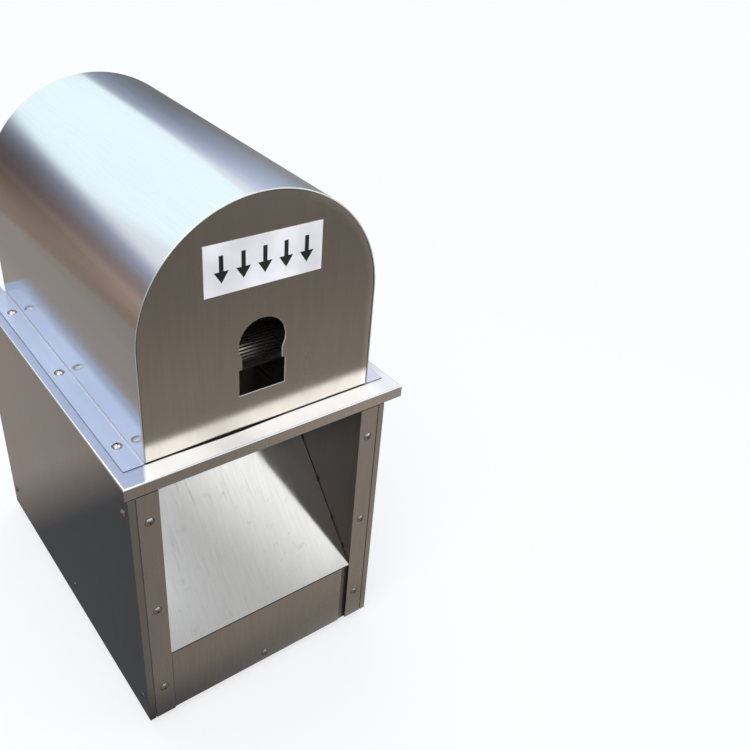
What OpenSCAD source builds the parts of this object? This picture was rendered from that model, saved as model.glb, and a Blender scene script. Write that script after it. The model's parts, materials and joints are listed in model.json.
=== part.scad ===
// Sugarcane peeling machine: a folded stainless cabinet with a peel chute, an arched
// hood, two pairs of feed rollers, a ring of four sprung knives and a belt drive.
// Millimetres. +Z is up, +X is right, the cane enters at -Y and leaves at +Y.
// The origin is on the ground, under the middle of the table top.

/* [Table top] */
// Width of the table top
top_w = 372; // [366:1:400]
// Depth of the table top
top_d = 497; // [490:1:540]
// Height of the lip folded down round the table top
lip_h = 15.5; // [10:0.5:30]
// Thickness of the stainless sheet
sheet = 1.5; // [1:0.1:2]

/* [Cabinet] */
// Height of the cabinet with its table top
cabinet_h = 392; // [380:1:440]
// Overhang of the table top over the left panel
left_overhang = 3; // [2.5:0.5:8]
// Overhang of the table top over the right panel, which shelters the switches
right_overhang = 26.5; // [26:0.5:34]
// Face width of a front post
post_face = 26; // [22:0.5:32]
// Depth of a front post's folded inner edge
post_fold = 8; // [5:0.5:12]
// Width of a side panel's folded front edge
panel_fold = 8; // [5:0.5:12]
// Open gap between a side panel's front edge and its post
panel_gap = 1.5; // [1:0.1:2.5]
// Leg of the corner angles
angle_leg = 28; // [24:1:34]
// Thickness of the corner angles
angle_t = 3; // [2:0.5:4]
// Height of the bottom tray's flanges
tray_flange = 45; // [40:1:60]
// Height of a foot
foot_h = 12; // [8:1:16]
// Radius of a foot
foot_r = 16; // [12:1:20]
// Distance from the cabinet's outside to a foot's middle
foot_inset = 48; // [42:1:60]
// Height of the rear panel's vent slots
vent_h = 5; // [3:0.5:6]
// Length of the rear panel's vent slots
vent_l = 90; // [60:1:110]
// Number of vent slots in each column
vent_n = 6; // [3:1:8]
// Height of the lowest vent slot above the cabinet's bottom
vent_low = 100; // [60:1:150]
// Distance from one vent slot to the next
vent_pitch = 15; // [10:0.5:20]
// Distance between the two columns of vent slots
vent_apart = 30; // [20:1:40]

/* [Chute] */
// Height of the chute's front edge above the cabinet's bottom
chute_edge_h = 109; // [95:1:118]
// Slope of the chute
chute_slope = 48.6; // [48:0.1:56]
// Width of the recess beside the lower front panel
recess_w = 10.5; // [6:0.5:16]
// Height of the chute's gap under the table top
chute_top_gap = 2; // [1:0.5:8]

/* [Hood] */
// Outer width of the hood
hood_w = 300; // [290:1:306]
// Length of the hood
hood_len = 443.5; // [430:0.5:460]
// Height of the hood's straight sides
hood_side_h = 136.8; // [130:0.1:150]
// Width of the hood's bolting flange
flange_w = 24.3; // [20:0.1:28]
// Depth that the hood's end plates stand back
end_recess = 1; // [0.5:0.1:3]
// Gap between an end plate and the table top
end_slit = 1.6; // [0.5:0.1:2]
// Distance from the hood's front to its first flange screw
first_screw = 44; // [30:1:60]
// Distance between the flange screws
screw_pitch = 169; // [140:1:180]
// Distance from the hood's side to a flange screw
screw_out = 11.5; // [10:0.5:13]

/* [Inlet and outlet] */
// Distance of the feed line from the middle, to the right
feed_x = -2; // [-6:0.5:6]
// Height of the round inlet's centre above the table top
inlet_z = 111; // [104:1:116]
// Radius of the round inlet
inlet_r = 30; // [26:0.5:34]
// Width of the neck under the round inlet
neck_w = 52; // [40:1:56]
// Width of the square window under the inlet
window_w = 60; // [50:1:70]
// Lower edge of the square window above the table top
window_low = 46.5; // [40:0.5:56]
// Upper edge of the square window above the table top
window_high = 81.5; // [70:0.5:86]
// Radius of the round outlet
outlet_r = 33; // [28:0.5:36]
// Width of the sign plate
sign_w = 143; // [100:1:150]
// Height of the sign plate
sign_h = 58; // [40:1:64]
// Thickness of the sign plate
sign_t = 0.8; // [0.5:0.1:2]
// Height of the sign plate's middle above the table top
sign_z = 211; // [195:1:216]

/* [Rollers] */
// Height of the lower rollers' axis above the table top
roller_z = 64; // [62:0.5:70]
// Distance from the hood's front to the front rollers
front_roller_in = 64; // [60:1:72]
// Distance from the knife ring to either pair of rollers
roller_dy = 98; // [96:1:104]
// Radius of the lower rollers
lower_r = 25; // [22:0.5:27]
// Radius of the upper rollers
upper_r = 22; // [18:0.5:24]
// Closed gap between an upper and a lower roller
nip = 25; // [20:0.5:30]
// Half length of the lower rollers
lower_half = 60; // [50:1:66]
// Number of flutes on a roller
flute_n = 24; // [16:1:32]
// Depth of the flutes
flute_depth = 2; // [1:0.1:3]
// Radius of the lower rollers' shafts
shaft_r = 9; // [7:0.5:11]
// Radius of the upper rollers' journals and of the arm pivots
pivot_pin_r = 8; // [6:0.5:9]

/* [Bearing plates and arms] */
// Half distance between the bearing plates
plate_in = 75; // [74:0.5:78]
// Thickness of a bearing plate
plate_t = 8; // [6:0.5:10]
// Width of a bearing plate's foot
plate_foot_w = 20; // [18:0.5:22]
// Thickness of a bearing plate's foot
plate_foot_t = 6; // [5:0.5:8]
// Height of the arm pivots above the table top
pivot_z = 181; // [178:1:186]
// Distance from the knife ring to either arm pivot
pivot_dy = 13; // [12.5:0.5:16]
// Half distance between an arm's levers
lever_in = 54; // [52:0.5:56]
// Thickness of a lever
lever_t = 6; // [4:0.5:7]
// Half width of a lever
lever_r = 12; // [11:0.5:12.5]
// Distance from the knife ring to the arm springs
spring_dy = 124; // [122:1:130]
// Height of the springs' lower pins above the table top
anchor_z = 25; // [20:1:32]
// Radius of the spring pins
anchor_r = 3; // [2.5:0.5:4]

/* [Knives] */
// Height of the knife ring's centre above the table top
knife_z = 103; // [100:0.5:106]
// Half height of the knife ring plate
ring_half_h = 58; // [56:0.5:62]
// Thickness of the knife ring plate
ring_t = 8; // [6:0.5:10]
// Radius of the hole through the knife ring
ring_hole_r = 42; // [38:0.5:43]
// Radius at which the knives pivot
knife_pivot_r = 52; // [50:0.5:53]
// Distance from the ring plate's face to the knives' pivots
knife_out = 18; // [17:0.5:19]
// Radius that the closed knives leave open
knife_gap_r = 13; // [11:0.5:16]
// Reach of a knife behind its pivot
knife_reach = 34; // [30:0.5:35]
// Width of a knife's edge
knife_w = 17; // [12:0.5:17]
// Width of a knife's arm
knife_arm_w = 12; // [10:0.5:13]
// Radius of the knife pins
knife_pin_r = 4; // [3:0.5:4.5]

/* [Drive] */
// Distance from the feed line to the belt between the rollers
roller_belt_x = 93; // [92:0.5:95]
// Distance from the feed line to the belt from the gear motor
drive_belt_x = 106; // [106:0.5:109]
// Pitch radius of the pulleys of the roller belt
roller_pulley_p = 26; // [22:0.5:30]
// Pitch radius of the driven pulley on the rear roller
driven_pulley_p = 40; // [36:0.5:42]
// Pitch radius of the pulley on the gear motor
motor_pulley_p = 25; // [22:0.5:28]
// Width of the belts
belt_w = 9.8; // [8:0.1:10.4]
// Height of the belts
belt_h = 6; // [5:0.5:7]
// Distance of the gear motor's axis from the cabinet's rear
motor_rear = 128.5; // [122:0.5:134]
// Gap between the motor's fan cover and the left panel, for its air
motor_air = 15.5; // [12:0.5:20]
// Height of the motor's axis above the cabinet's bottom
motor_z = 68; // [66:1:80]
// Radius of the motor's body
motor_r = 54; // [48:1:56]
// Length of the motor's body
motor_len = 128; // [110:1:134]
// Gear module
gear_m = 1.5; // [1.4:0.05:1.6]
// Teeth of the motor's pinion
pinion_n = 12; // [12:1:14]
// Teeth of the output gear
gear_n = 72; // [68:2:76]
// Width of the gears
gear_w = 24; // [16:1:30]
// Length of the gearbox
gearbox_len = 60; // [56:1:66]
// Wall of the gearbox
gearbox_wall = 6; // [5:0.5:8]
// Radius of the gear motor's output shaft
output_r = 10; // [8:0.5:12]

/* [Switches] */
// Depth of the switch box
switch_d = 17; // [14:0.5:18]
// Width of the switch box
switch_w = 46; // [42:1:56]
// Height of the switch box
switch_h = 84; // [76:1:96]
// Radius of a push button
button_r = 10; // [8:0.5:12]
// Height that a push button stands proud
button_out = 6; // [5:0.5:7]
// Travel of a push button
button_travel = 3; // [2:0.5:4]

/* [Hidden] */
$fn = 72;

// Clearances: a running fit, a fixed screw or pin in its hole, and a seat.
run_gap = 0.05;
hole_gap = 0.15;
seat_gap = 0.3;
cut = 1;
link_waist = 0.5;

// Places of the cabinet.
top_z = foot_h + cabinet_h;
under_z = top_z - sheet;
lip_z = top_z - lip_h;
cab_x0 = left_overhang - top_w / 2;
cab_x1 = top_w / 2 - right_overhang;
cab_y0 = -top_d / 2;
cab_y1 = top_d / 2;
mid_x = (cab_x0 + cab_x1) / 2;
in_x0 = cab_x0 + sheet;
in_x1 = cab_x1 - sheet;
in_y0 = cab_y0 + sheet;
in_y1 = cab_y1 - sheet;
bay_x0 = cab_x0 + panel_fold + panel_gap + post_face;
bay_x1 = cab_x1 - panel_fold - panel_gap - post_face;
seam = 1;
skirt_top = lip_z - seam;
tray_z = foot_h + sheet;
foot_bevel = 1;
post_mid = panel_fold + panel_gap + post_face / 2;
post_screw_x = [cab_x0 + post_mid, cab_x1 - post_mid];

// Places of the chute.
chute_front_z = foot_h + chute_edge_h;
chute_top_z = under_z - chute_top_gap;
chute_top_y = cab_y0 + (chute_top_z - chute_front_z) / tan(chute_slope);
chute_drop = sheet / cos(chute_slope);
panel_top_z = chute_front_z - chute_drop - seat_gap;
recess_depth = 3;
recess_y = in_y0 + recess_depth + seat_gap;
recess_lap = 6;
recess_x1 = bay_x1 - seat_gap;
cheek_drop = 25;

// Places of the hood.
hood_y0 = -hood_len / 2;
hood_y1 = hood_len / 2;
hood_in = hood_w / 2 - sheet;
end_seam = 0.15;

// Screws.
pan_r = 5.2;
pan_h = 2.8;
pan_shank_r = 2.5;
head_clear = 0.5;
low_pan_h = min(pan_h, left_overhang - head_clear);
dome_r = 5.6;
dome_h = 3.4;
dome_shank_r = 3;
screw_grip = 8;
cross_len = 0.95;
cross_w = 0.22;
cross_deep = 0.5;
front_screw_drop = 41;
front_screw_pitch = 141.5;
right_screw_shift = -4.5;
side_screw_low = 35;
side_screw_in = 15.5;
side_screw_drop = 29;
mid_screw_shift = -10;
rear_screw_in = 12;
front_bolt_low = 14;

// Places of the feed.
ring_y = hood_y0 + front_roller_in + roller_dy;
lower_z = top_z + roller_z;
upper_z = lower_z + lower_r + nip + upper_r;
arm_pivot_z = top_z + pivot_z;
pin_under_axle = 4;
arm_pin_z = upper_z - pin_under_axle;
anchor_pin_z = top_z + anchor_z;
upper_end_gap = 4;
upper_half = lever_in - upper_end_gap;
bush_wall = 3;
bush_rim = 4;
bush_flange = 4;
bush_out = 1;
shaft_out = 2;
pivot_wall = 3;
pin_head = 2;
plate_past_spring = 20;
plate_over_pivot = 24;
plate_y0 = ring_y - spring_dy - plate_past_spring;
plate_y1 = ring_y + spring_dy + plate_past_spring;
plate_top = arm_pivot_z + plate_over_pivot;
plate_corner = 40;
bolt_r = 4;
bolt_head_r = 7.5;
bolt_head_h = 5;
bolt_end_in = 18;
bolt_mid_shift = -24;
nut_h = 6;
foot_bolt_x = plate_in - plate_foot_w / 2;
bolt_past_nut = 2;
foot_bolt_grip = plate_foot_t + sheet + nut_h + bolt_past_nut;
peel_side_gap = 3;
peel_half = plate_in - plate_foot_w - peel_side_gap;
peel_in = 60;
peel_short = 6;
peel_y0 = cab_y0 + peel_in;
peel_y1 = chute_top_y - peel_short;

// Springs.
arm_spring_r = 4;
arm_spring_wire = 0.7;
arm_spring_turns = 12;
knife_spring_r = 3.2;
knife_spring_wire = 0.6;
knife_spring_turns = 4;
rings_per_turn = 8;
wire_sides = 6;
spring_x = (lever_in + lever_t + plate_in) / 2;
spring_pin_past = 2;
spring_pin_end = spring_x + arm_spring_r + spring_pin_past;
anchor_len = 14;

// Places of the knives.
knife_cz = top_z + knife_z;
knife_angles = [45, 135, 225, 315];
knife_pivot_y = ring_t / 2 + knife_out;
knife_tail = 21;
knife_tail_t = 6;
knife_eye_r = 8;
ear_t = 5;
ear_in = knife_arm_w / 2 + seat_gap;
ear_r = 8;
knife_spring_in = 5;
knife_spring_at = knife_pivot_r + knife_tail - knife_spring_in;
knife_neck_r = 4;
knife_toe = 12;
knife_lead = 4;
knife_heel = 2;
knife_heel_h = 8;
knife_block_h = 9;
knife_hollow = 4;
knife_edge = 0.6;
knife_pin_past = 1;
ring_bolt_in = 20;
ring_bolt_z = [knife_cz - ring_half_h + ring_bolt_in, knife_cz + ring_half_h - ring_bolt_in];
ring_bolt_deep = 14;
ring_hole = ring_bolt_deep + 2 * cut;
ring_bolt_r = 2.5;
ring_bolt_head_r = 5;
ring_bolt_head_h = 4;
knife_spring_l = knife_out - knife_tail_t / 2 - 2 * seat_gap;

// Places of the drive.
belt_x1 = feed_x + roller_belt_x;
belt_x2 = feed_x + drive_belt_x;
pulley_rim = 6.5;
belt_flank = 1.85;
groove_gap = 0.35;
groove_draw = 1.95;
groove_spare = 1.5;
belt_lap = 1;
run_inset = 0.15;
front_roller = [ring_y - roller_dy, lower_z];
rear_roller = [ring_y + roller_dy, lower_z];
pinion_p = gear_m * pinion_n / 2;
gear_p = gear_m * gear_n / 2;
motor_y = cab_y1 - motor_rear;
motor_axis = [motor_y, foot_h + motor_z];
output_axis = [motor_y, foot_h + motor_z + pinion_p + gear_p];
cover_len = 38;
cover_lap = 4;
motor_flange = 8;
motor_x0 = in_x0 + motor_air + cover_len;
motor_x1 = motor_x0 + motor_len;
gearbox_x0 = motor_x1 + motor_flange;
gearbox_x1 = gearbox_x0 + gearbox_len;
gear_x0 = gearbox_x0 + (gearbox_len - gearbox_wall - gear_w) / 2;
cover_r = motor_r + 2;
fin_h = 4;
fin_n = 20;
fin_t = 2;
fin_root = 1;
end_shield = 6;
rotor_end = 16;
air_gap = 1.5;
rotor_r = 40;
motor_shaft_r = 6.5;
motor_foot_in = 14;
motor_foot_len = 20;
motor_foot_half = 38;
motor_foot_h = 22;
terminal_in = 30;
terminal_len = 70;
terminal_half = 30;
terminal_sink = 8;
terminal_h = 26;
fan_len = 26;
fan_off = 5;
fan_hub_wall = 5;
fan_hub_lap = 2;
fan_tip_gap = 10;
fan_disc_t = 4;
fan_blade_t = 2;
fan_blade_n = 8;
shaft_past_fan = 2;
shaft_past_gear = 4;
air_hole_r = 2.4;
air_hole_n = 12;
air_hole_rings = [14, 24, 34, 44];
gear_tip = gear_p + gear_m;
gear_room = 4;
gearbox_r = gear_tip + gear_room + gearbox_wall;
gearbox_boss = 6;
gearbox_boss_wall = 9;
output_seat = 6;
output_seat_gap = 1;
output_x1 = belt_x2 + pulley_rim + shaft_out;

// The belt slot in the table top is cut round the drive belt's two runs.
belt_lie = atan2(output_axis[1] - rear_roller[1], output_axis[0] - rear_roller[0]);
belt_wrap = acos((driven_pulley_p - motor_pulley_p) / norm(output_axis - rear_roller));
belt_drop = rear_roller[1] - top_z;
belt_outer = driven_pulley_p + belt_h / 2;
belt_slot_gap = 6;
function run_y(a) = rear_roller[0] + belt_outer / cos(a) + belt_drop * tan(a);
slot_y0 = run_y(belt_lie - belt_wrap) - belt_slot_gap;
slot_y1 = run_y(belt_lie + belt_wrap) + belt_slot_gap;
belt_side_gap = 4;
slot_half_x = belt_w / 2 + belt_side_gap;

// Places of the switches and the cable gland.
switch_x1 = cab_x1 + switch_d;
switch_in = 60;
switch_drop = 16;
switch_y = cab_y0 + switch_in;
switch_z = lip_z - switch_drop - switch_h / 2;
button_dz = switch_h / 4;
button_depth = 11;
button_spare = 1;
button_bore = button_depth + button_travel + button_spare;
gland_rear = 50;
gland_up = 70;
gland_y = cab_y1 - gland_rear;
gland_z = foot_h + gland_up;
gland_r = 9;
gland_thread_r = 7;
gland_hex_r = 10;
gland_tip_r = 6;
gland_nut_h = 5;
gland_collar_h = 6;
gland_out = 18;
gland_in = 8;
gland_bore_r = 3.5;

steel = "#b9b6b0";
bright = "#d7d9dc";
dark = "#55565a";
iron = "#6d7075";
rubber = "#26262a";

// Turns a shape so that its own X, Y and Z lie along Y, Z and X.
module along_x() {
    rotate([90, 0, 90])
        children();
}

// Extrudes an outline drawn in X and Z along Y, from y0 over len.
module along_y(y0, len) {
    translate([0, y0 + len, 0])
        rotate([90, 0, 0])
            linear_extrude(len)
                children();
}

// A box between two corners.
module box(a, b) {
    translate(a)
        cube(b - a);
}

// A screw with its seat at z = 0 and its head above, with a cross recess.
module cross_screw(r, h, shank_r, grip) {
    dome = (r * r + h * h) / (2 * h);
    arm = r * cross_len;
    slot = r * cross_w;
    difference() {
        union() {
            intersection() {
                translate([0, 0, h - dome])
                    sphere(dome);
                cylinder(r = r, h = h);
            }
            translate([0, 0, -grip])
                cylinder(r = shank_r, h = grip + h / 2);
        }
        for (turn = [0, 90]) {
            rotate([0, 0, turn])
                translate([-arm / 2, -slot / 2, h * cross_deep])
                    cube([arm, slot, h]);
        }
    }
}

module pan_screw() {
    cross_screw(pan_r, pan_h, pan_shank_r, screw_grip);
}

// A panel screw's head is low enough to stay under the table top's overhang.
module low_screw() {
    cross_screw(pan_r, low_pan_h, pan_shank_r, screw_grip - sheet);
}

// A hexagon bolt with its seat at z = 0, and its nut under what it clamps.
module foot_bolt() {
    cylinder(r = bolt_head_r, h = bolt_head_h, $fn = 6);
    translate([0, 0, -foot_bolt_grip])
        cylinder(r = bolt_r, h = foot_bolt_grip + bolt_head_h / 2);
    translate([0, 0, -plate_foot_t - sheet - nut_h])
        cylinder(r = bolt_head_r, h = nut_h, $fn = 6);
}

// A bolt into the knife ring's edge, with its seat at z = 0.
module ring_bolt() {
    grip = plate_t + ring_bolt_deep;
    cylinder(r = ring_bolt_head_r, h = ring_bolt_head_h, $fn = 6);
    translate([0, 0, -grip])
        cylinder(r = ring_bolt_r, h = grip + ring_bolt_head_h / 2);
}

// The hood's outline, a square with a half circle on it that stands in by gap.
module arch(half, side, gap = 0) {
    translate([-half, 0])
        square([2 * half, side]);
    translate([0, side])
        intersection() {
            circle(half - gap);
            translate([-half, 0])
                square([2 * half, half]);
        }
}

// Places of the flange screws along the hood.
flange_screw_y = [for (i = [0:2]) hood_y0 + first_screw + i * screw_pitch];
flange_screw_x = [-hood_w / 2 - screw_out, hood_w / 2 + screw_out];
foot_bolt_y = [plate_y0 + bolt_end_in, ring_y + bolt_mid_shift, plate_y1 - bolt_end_in];

module top_plate() {
    color(bright)
        difference() {
            box([-top_w / 2, -top_d / 2, lip_z], [top_w / 2, top_d / 2, top_z]);
            box([sheet - top_w / 2, sheet - top_d / 2, lip_z - cut],
                [top_w / 2 - sheet, top_d / 2 - sheet, under_z]);
            box([feed_x - peel_half, peel_y0, under_z - cut],
                [feed_x + peel_half, peel_y1, top_z + cut]);
            box([belt_x2 - slot_half_x, slot_y0, under_z - cut],
                [belt_x2 + slot_half_x, slot_y1, top_z + cut]);
            for (x = flange_screw_x, y = flange_screw_y)
                translate([x, y, under_z - cut])
                    cylinder(r = dome_shank_r + hole_gap, h = sheet + 2 * cut);
            for (x = [-foot_bolt_x, foot_bolt_x], y = foot_bolt_y)
                translate([feed_x + x, y, under_z - cut])
                    cylinder(r = bolt_r + hole_gap, h = sheet + 2 * cut);
        }
}

module hood_shell() {
    color(steel)
        difference() {
            translate([0, 0, top_z])
                along_y(hood_y0, hood_len) {
                    difference() {
                        arch(hood_w / 2, hood_side_h);
                        translate([0, -cut])
                            arch(hood_in, hood_side_h + cut);
                    }
                    for (x = [-hood_w / 2 - flange_w, hood_in])
                        translate([x, 0])
                            square([flange_w + sheet, sheet]);
                }
            for (x = flange_screw_x, y = flange_screw_y)
                translate([x, y, top_z - cut])
                    cylinder(r = dome_shank_r + hole_gap, h = sheet + 2 * cut);
        }
}

// An end plate of the hood, with its front face at y0.
module end_plate(y0) {
    along_y(y0, sheet)
        difference() {
            translate([0, top_z])
                arch(hood_in, hood_side_h, end_seam);
            translate([-hood_w / 2, top_z - cut])
                square([hood_w, end_slit + cut]);
            children();
        }
}

module hood_front_plate() {
    color(steel)
        end_plate(hood_y0 + end_recess) {
            translate([feed_x, top_z + inlet_z])
                circle(inlet_r);
            translate([feed_x - neck_w / 2, top_z + window_high - cut])
                square([neck_w, inlet_z - window_high + cut]);
            translate([feed_x - window_w / 2, top_z + window_low])
                square([window_w, window_high - window_low]);
        }
}

module hood_rear_plate() {
    color(steel)
        end_plate(hood_y1 - end_recess - sheet)
            translate([feed_x, top_z + inlet_z])
                circle(outlet_r);
}

module inlet_sign() {
    color("white")
        box([-sign_w / 2, hood_y0 + end_recess - sign_t, top_z + sign_z - sign_h / 2],
            [sign_w / 2, hood_y0 + end_recess, top_z + sign_z + sign_h / 2]);
}

// Places of the screws in a side panel, as [y, z].
side_screw_z = [foot_h + side_screw_low, lip_z - side_screw_drop];
side_screws = [[cab_y0 + side_screw_in, side_screw_z[1]], [cab_y0 + side_screw_in, side_screw_z[0]],
    [(cab_y0 + cab_y1) / 2 + mid_screw_shift, side_screw_z[0]],
    [cab_y1 - side_screw_in, side_screw_z[0]], [cab_y1 - side_screw_in, side_screw_z[1]]];

// Heights of the screws in a front post, on the left with side -1 and on the right with side 1.
function front_screw_z(side) = [for (i = [0:2])
    lip_z - front_screw_drop - i * front_screw_pitch + (side < 0 ? 0 : right_screw_shift)];

// A side panel with its outer face at x = 0 and its inside towards +X.
module side_panel() {
    difference() {
        union() {
            box([0, cab_y0, foot_h], [sheet, cab_y1, skirt_top]);
            box([0, in_y0 + seat_gap, foot_h], [sheet, in_y1 - seat_gap, under_z]);
            box([0, cab_y0, foot_h], [panel_fold, in_y0, skirt_top]);
        }
        for (p = side_screws)
            translate([-cut, p[0], p[1]])
                rotate([0, 90, 0])
                    cylinder(r = pan_shank_r + hole_gap, h = sheet + 2 * cut);
        children();
    }
}

module left_side_panel() {
    color(dark)
        translate([cab_x0, 0, 0])
            side_panel();
}

module right_side_panel() {
    color(dark)
        translate([cab_x1, 0, 0])
            mirror([1, 0, 0])
                side_panel()
                    translate([-cut, gland_y, gland_z])
                        rotate([0, 90, 0])
                            cylinder(r = gland_thread_r + hole_gap, h = sheet + 2 * cut);
}

rear_screw_x = [in_x0 + rear_screw_in, in_x1 - rear_screw_in];

module rear_panel() {
    color(dark)
        difference() {
            box([in_x0, in_y1, foot_h], [in_x1, cab_y1, skirt_top]);
            for (x = rear_screw_x, z = side_screw_z)
                translate([x, cab_y1 + cut, z])
                    rotate([90, 0, 0])
                        cylinder(r = pan_shank_r + hole_gap, h = sheet + 2 * cut);
            for (x = [mid_x - vent_apart / 2 - vent_l, mid_x + vent_apart / 2], i = [0:vent_n - 1])
                translate([x, in_y1 - cut, foot_h + vent_low + i * vent_pitch])
                    cube([vent_l, sheet + 2 * cut, vent_h]);
        }
}

// A front post with its outer edge at x = 0 and its inner edge towards +X.
module front_post(side) {
    difference() {
        union() {
            box([0, cab_y0, foot_h], [post_face, in_y0, skirt_top]);
            box([post_face - sheet, cab_y0, foot_h], [post_face, cab_y0 + post_fold, skirt_top]);
        }
        for (z = front_screw_z(side))
            translate([post_face / 2, in_y0 + cut, z])
                rotate([90, 0, 0])
                    cylinder(r = pan_shank_r + hole_gap, h = sheet + 2 * cut);
    }
}

module front_post_left() {
    color(steel)
        translate([cab_x0 + panel_fold + panel_gap, 0, 0])
            front_post(-1);
}

module front_post_right() {
    color(steel)
        translate([cab_x1 - panel_fold - panel_gap, 0, 0])
            mirror([1, 0, 0])
                front_post(1);
}

module front_lower_panel() {
    x1 = bay_x1 - recess_w;
    color(steel)
        difference() {
            union() {
                box([bay_x0, in_y0, foot_h], [x1, in_y0 + sheet, panel_top_z]);
                box([x1 - sheet, in_y0, tray_z], [x1, in_y0 + recess_depth, panel_top_z]);
            }
            translate([mid_x, in_y0 + sheet + cut, foot_h + front_bolt_low])
                rotate([90, 0, 0])
                    cylinder(r = pan_shank_r + hole_gap, h = sheet + 2 * cut);
        }
}

// The chute's side outline in Y and Z, from its front edge up to the table top.
function chute_line(drop) = [[cab_y0, chute_front_z - drop], [chute_top_y, chute_top_z - drop]];

module chute_sheet() {
    color(bright)
        translate([bay_x0, 0, 0])
            along_x()
                linear_extrude(bay_x1 - bay_x0)
                    polygon(concat(chute_line(0), [chute_line(chute_drop)[1], chute_line(chute_drop)[0]]));
}

// A cheek beside the chute, a sheet that starts behind the post's folded edge.
module chute_cheek() {
    y0 = cab_y0 + post_fold;
    along_x()
        linear_extrude(sheet)
            polygon([[y0, panel_top_z - cheek_drop], [y0, under_z], [chute_top_y, under_z],
                [chute_top_y, chute_top_z - cheek_drop]]);
}

module chute_cheek_left() {
    color(steel)
        translate([bay_x0 - sheet, 0, 0])
            chute_cheek();
}

// The right cheek runs down to the tray, round the post's fold, and backs the recess beside the
// lower front panel.
module chute_cheek_right() {
    fold_y = cab_y0 + post_fold;
    color(steel) {
        translate([bay_x1, 0, 0])
            chute_cheek();
        box([bay_x1 - recess_w - recess_lap, recess_y, tray_z],
            [recess_x1, recess_y + sheet, panel_top_z]);
        box([recess_x1 - sheet, recess_y, tray_z], [recess_x1, fold_y + sheet, panel_top_z]);
        box([recess_x1 - sheet, fold_y, tray_z], [bay_x1 + sheet, fold_y + sheet, panel_top_z]);
    }
}

module bottom_tray() {
    gap = angle_leg + cut;
    color(iron)
        difference() {
            union() {
                box([in_x0, in_y0 + sheet, foot_h], [in_x1, in_y1, tray_z]);
                box([in_x0, in_y0 + gap, foot_h], [in_x0 + sheet, in_y1 - gap, foot_h + tray_flange]);
                box([in_x1 - sheet, in_y0 + gap, foot_h], [in_x1, in_y1 - gap, foot_h + tray_flange]);
                box([in_x0 + gap, in_y1 - sheet, foot_h], [in_x1 - gap, in_y1, foot_h + tray_flange]);
                box([in_x0 + gap, in_y0 + sheet, foot_h],
                    [bay_x1 - recess_w - sheet - seat_gap, in_y0 + 2 * sheet, foot_h + tray_flange]);
            }
            for (x = [in_x0 - cut, in_x1 - gap], y = [in_y0 - cut, in_y1 - gap])
                box([x, y, foot_h - cut], [x + gap + cut, y + gap + cut, tray_z + cut]);
            for (x = [[in_x0 - cut, bay_x0 + seat_gap], [bay_x1 - seat_gap, in_x1 + cut]])
                box([x[0], in_y0 - cut, foot_h - cut],
                    [x[1], cab_y0 + post_fold + seat_gap, foot_h + tray_flange + cut]);
            for (x = [in_x0 - cut, in_x1 - sheet - cut])
                translate([x, side_screws[2][0], side_screws[2][1]])
                    rotate([0, 90, 0])
                        cylinder(r = pan_shank_r + hole_gap, h = sheet + 2 * cut);
            translate([mid_x, in_y0 + 2 * sheet + cut, foot_h + front_bolt_low])
                rotate([90, 0, 0])
                    cylinder(r = pan_shank_r + hole_gap, h = sheet + 2 * cut);
        }
}

// A corner angle with its corner at the origin and its legs along +X and +Y.
module corner_angle() {
    difference() {
        box([0, 0, foot_h], [angle_leg, angle_leg, under_z]);
        box([angle_t, angle_t, foot_h - cut], [angle_leg + cut, angle_leg + cut, under_z + cut]);
    }
}

module hole_y(p) {
    translate([p[0], p[1] + angle_t + cut, p[2]])
        rotate([90, 0, 0])
            cylinder(r = pan_shank_r + hole_gap, h = 2 * (angle_t + cut));
}

module hole_x(p) {
    translate([p[0] - angle_t - cut, p[1], p[2]])
        rotate([0, 90, 0])
            cylinder(r = pan_shank_r + hole_gap, h = 2 * (angle_t + cut));
}

// A front corner angle, drilled for the post's screws and the side panel's.
module front_corner_angle(side) {
    x = side < 0 ? in_x0 : in_x1;
    post_x = side < 0 ? post_screw_x[0] : post_screw_x[1];
    color(iron)
        difference() {
            translate([x, in_y0, 0])
                mirror([side < 0 ? 0 : 1, 0, 0])
                    corner_angle();
            for (z = front_screw_z(side))
                hole_y([post_x, in_y0, z]);
            for (p = [side_screws[0], side_screws[1]])
                hole_x([x, p[0], p[1]]);
        }
}

// A rear corner angle, drilled for the rear panel's screws and the side panel's.
module rear_corner_angle(side) {
    x = side < 0 ? in_x0 : in_x1;
    rear_x = side < 0 ? rear_screw_x[0] : rear_screw_x[1];
    color(iron)
        difference() {
            translate([x, in_y1, 0])
                mirror([0, 1, 0])
                    mirror([side < 0 ? 0 : 1, 0, 0])
                        corner_angle();
            for (z = side_screw_z)
                hole_y([rear_x, in_y1, z]);
            for (p = [side_screws[3], side_screws[4]])
                hole_x([x, p[0], p[1]]);
        }
}

module corner_angle_front_left() {
    front_corner_angle(-1);
}

module corner_angle_front_right() {
    front_corner_angle(1);
}

module corner_angle_rear_left() {
    rear_corner_angle(-1);
}

module corner_angle_rear_right() {
    rear_corner_angle(1);
}

module feet() {
    color(rubber)
        for (x = [cab_x0 + foot_inset, cab_x1 - foot_inset], y = [cab_y0 + foot_inset, cab_y1 - foot_inset])
            translate([x, y, 0]) {
                cylinder(r1 = foot_r - foot_bevel, r2 = foot_r, h = foot_bevel);
                translate([0, 0, foot_bevel])
                    cylinder(r = foot_r, h = foot_h - foot_bevel);
            }
}

module hood_screws() {
    color(bright)
        for (x = flange_screw_x, y = flange_screw_y)
            translate([x, y, top_z + sheet])
                cross_screw(dome_r, dome_h, dome_shank_r, 2 * sheet);
}

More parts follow.
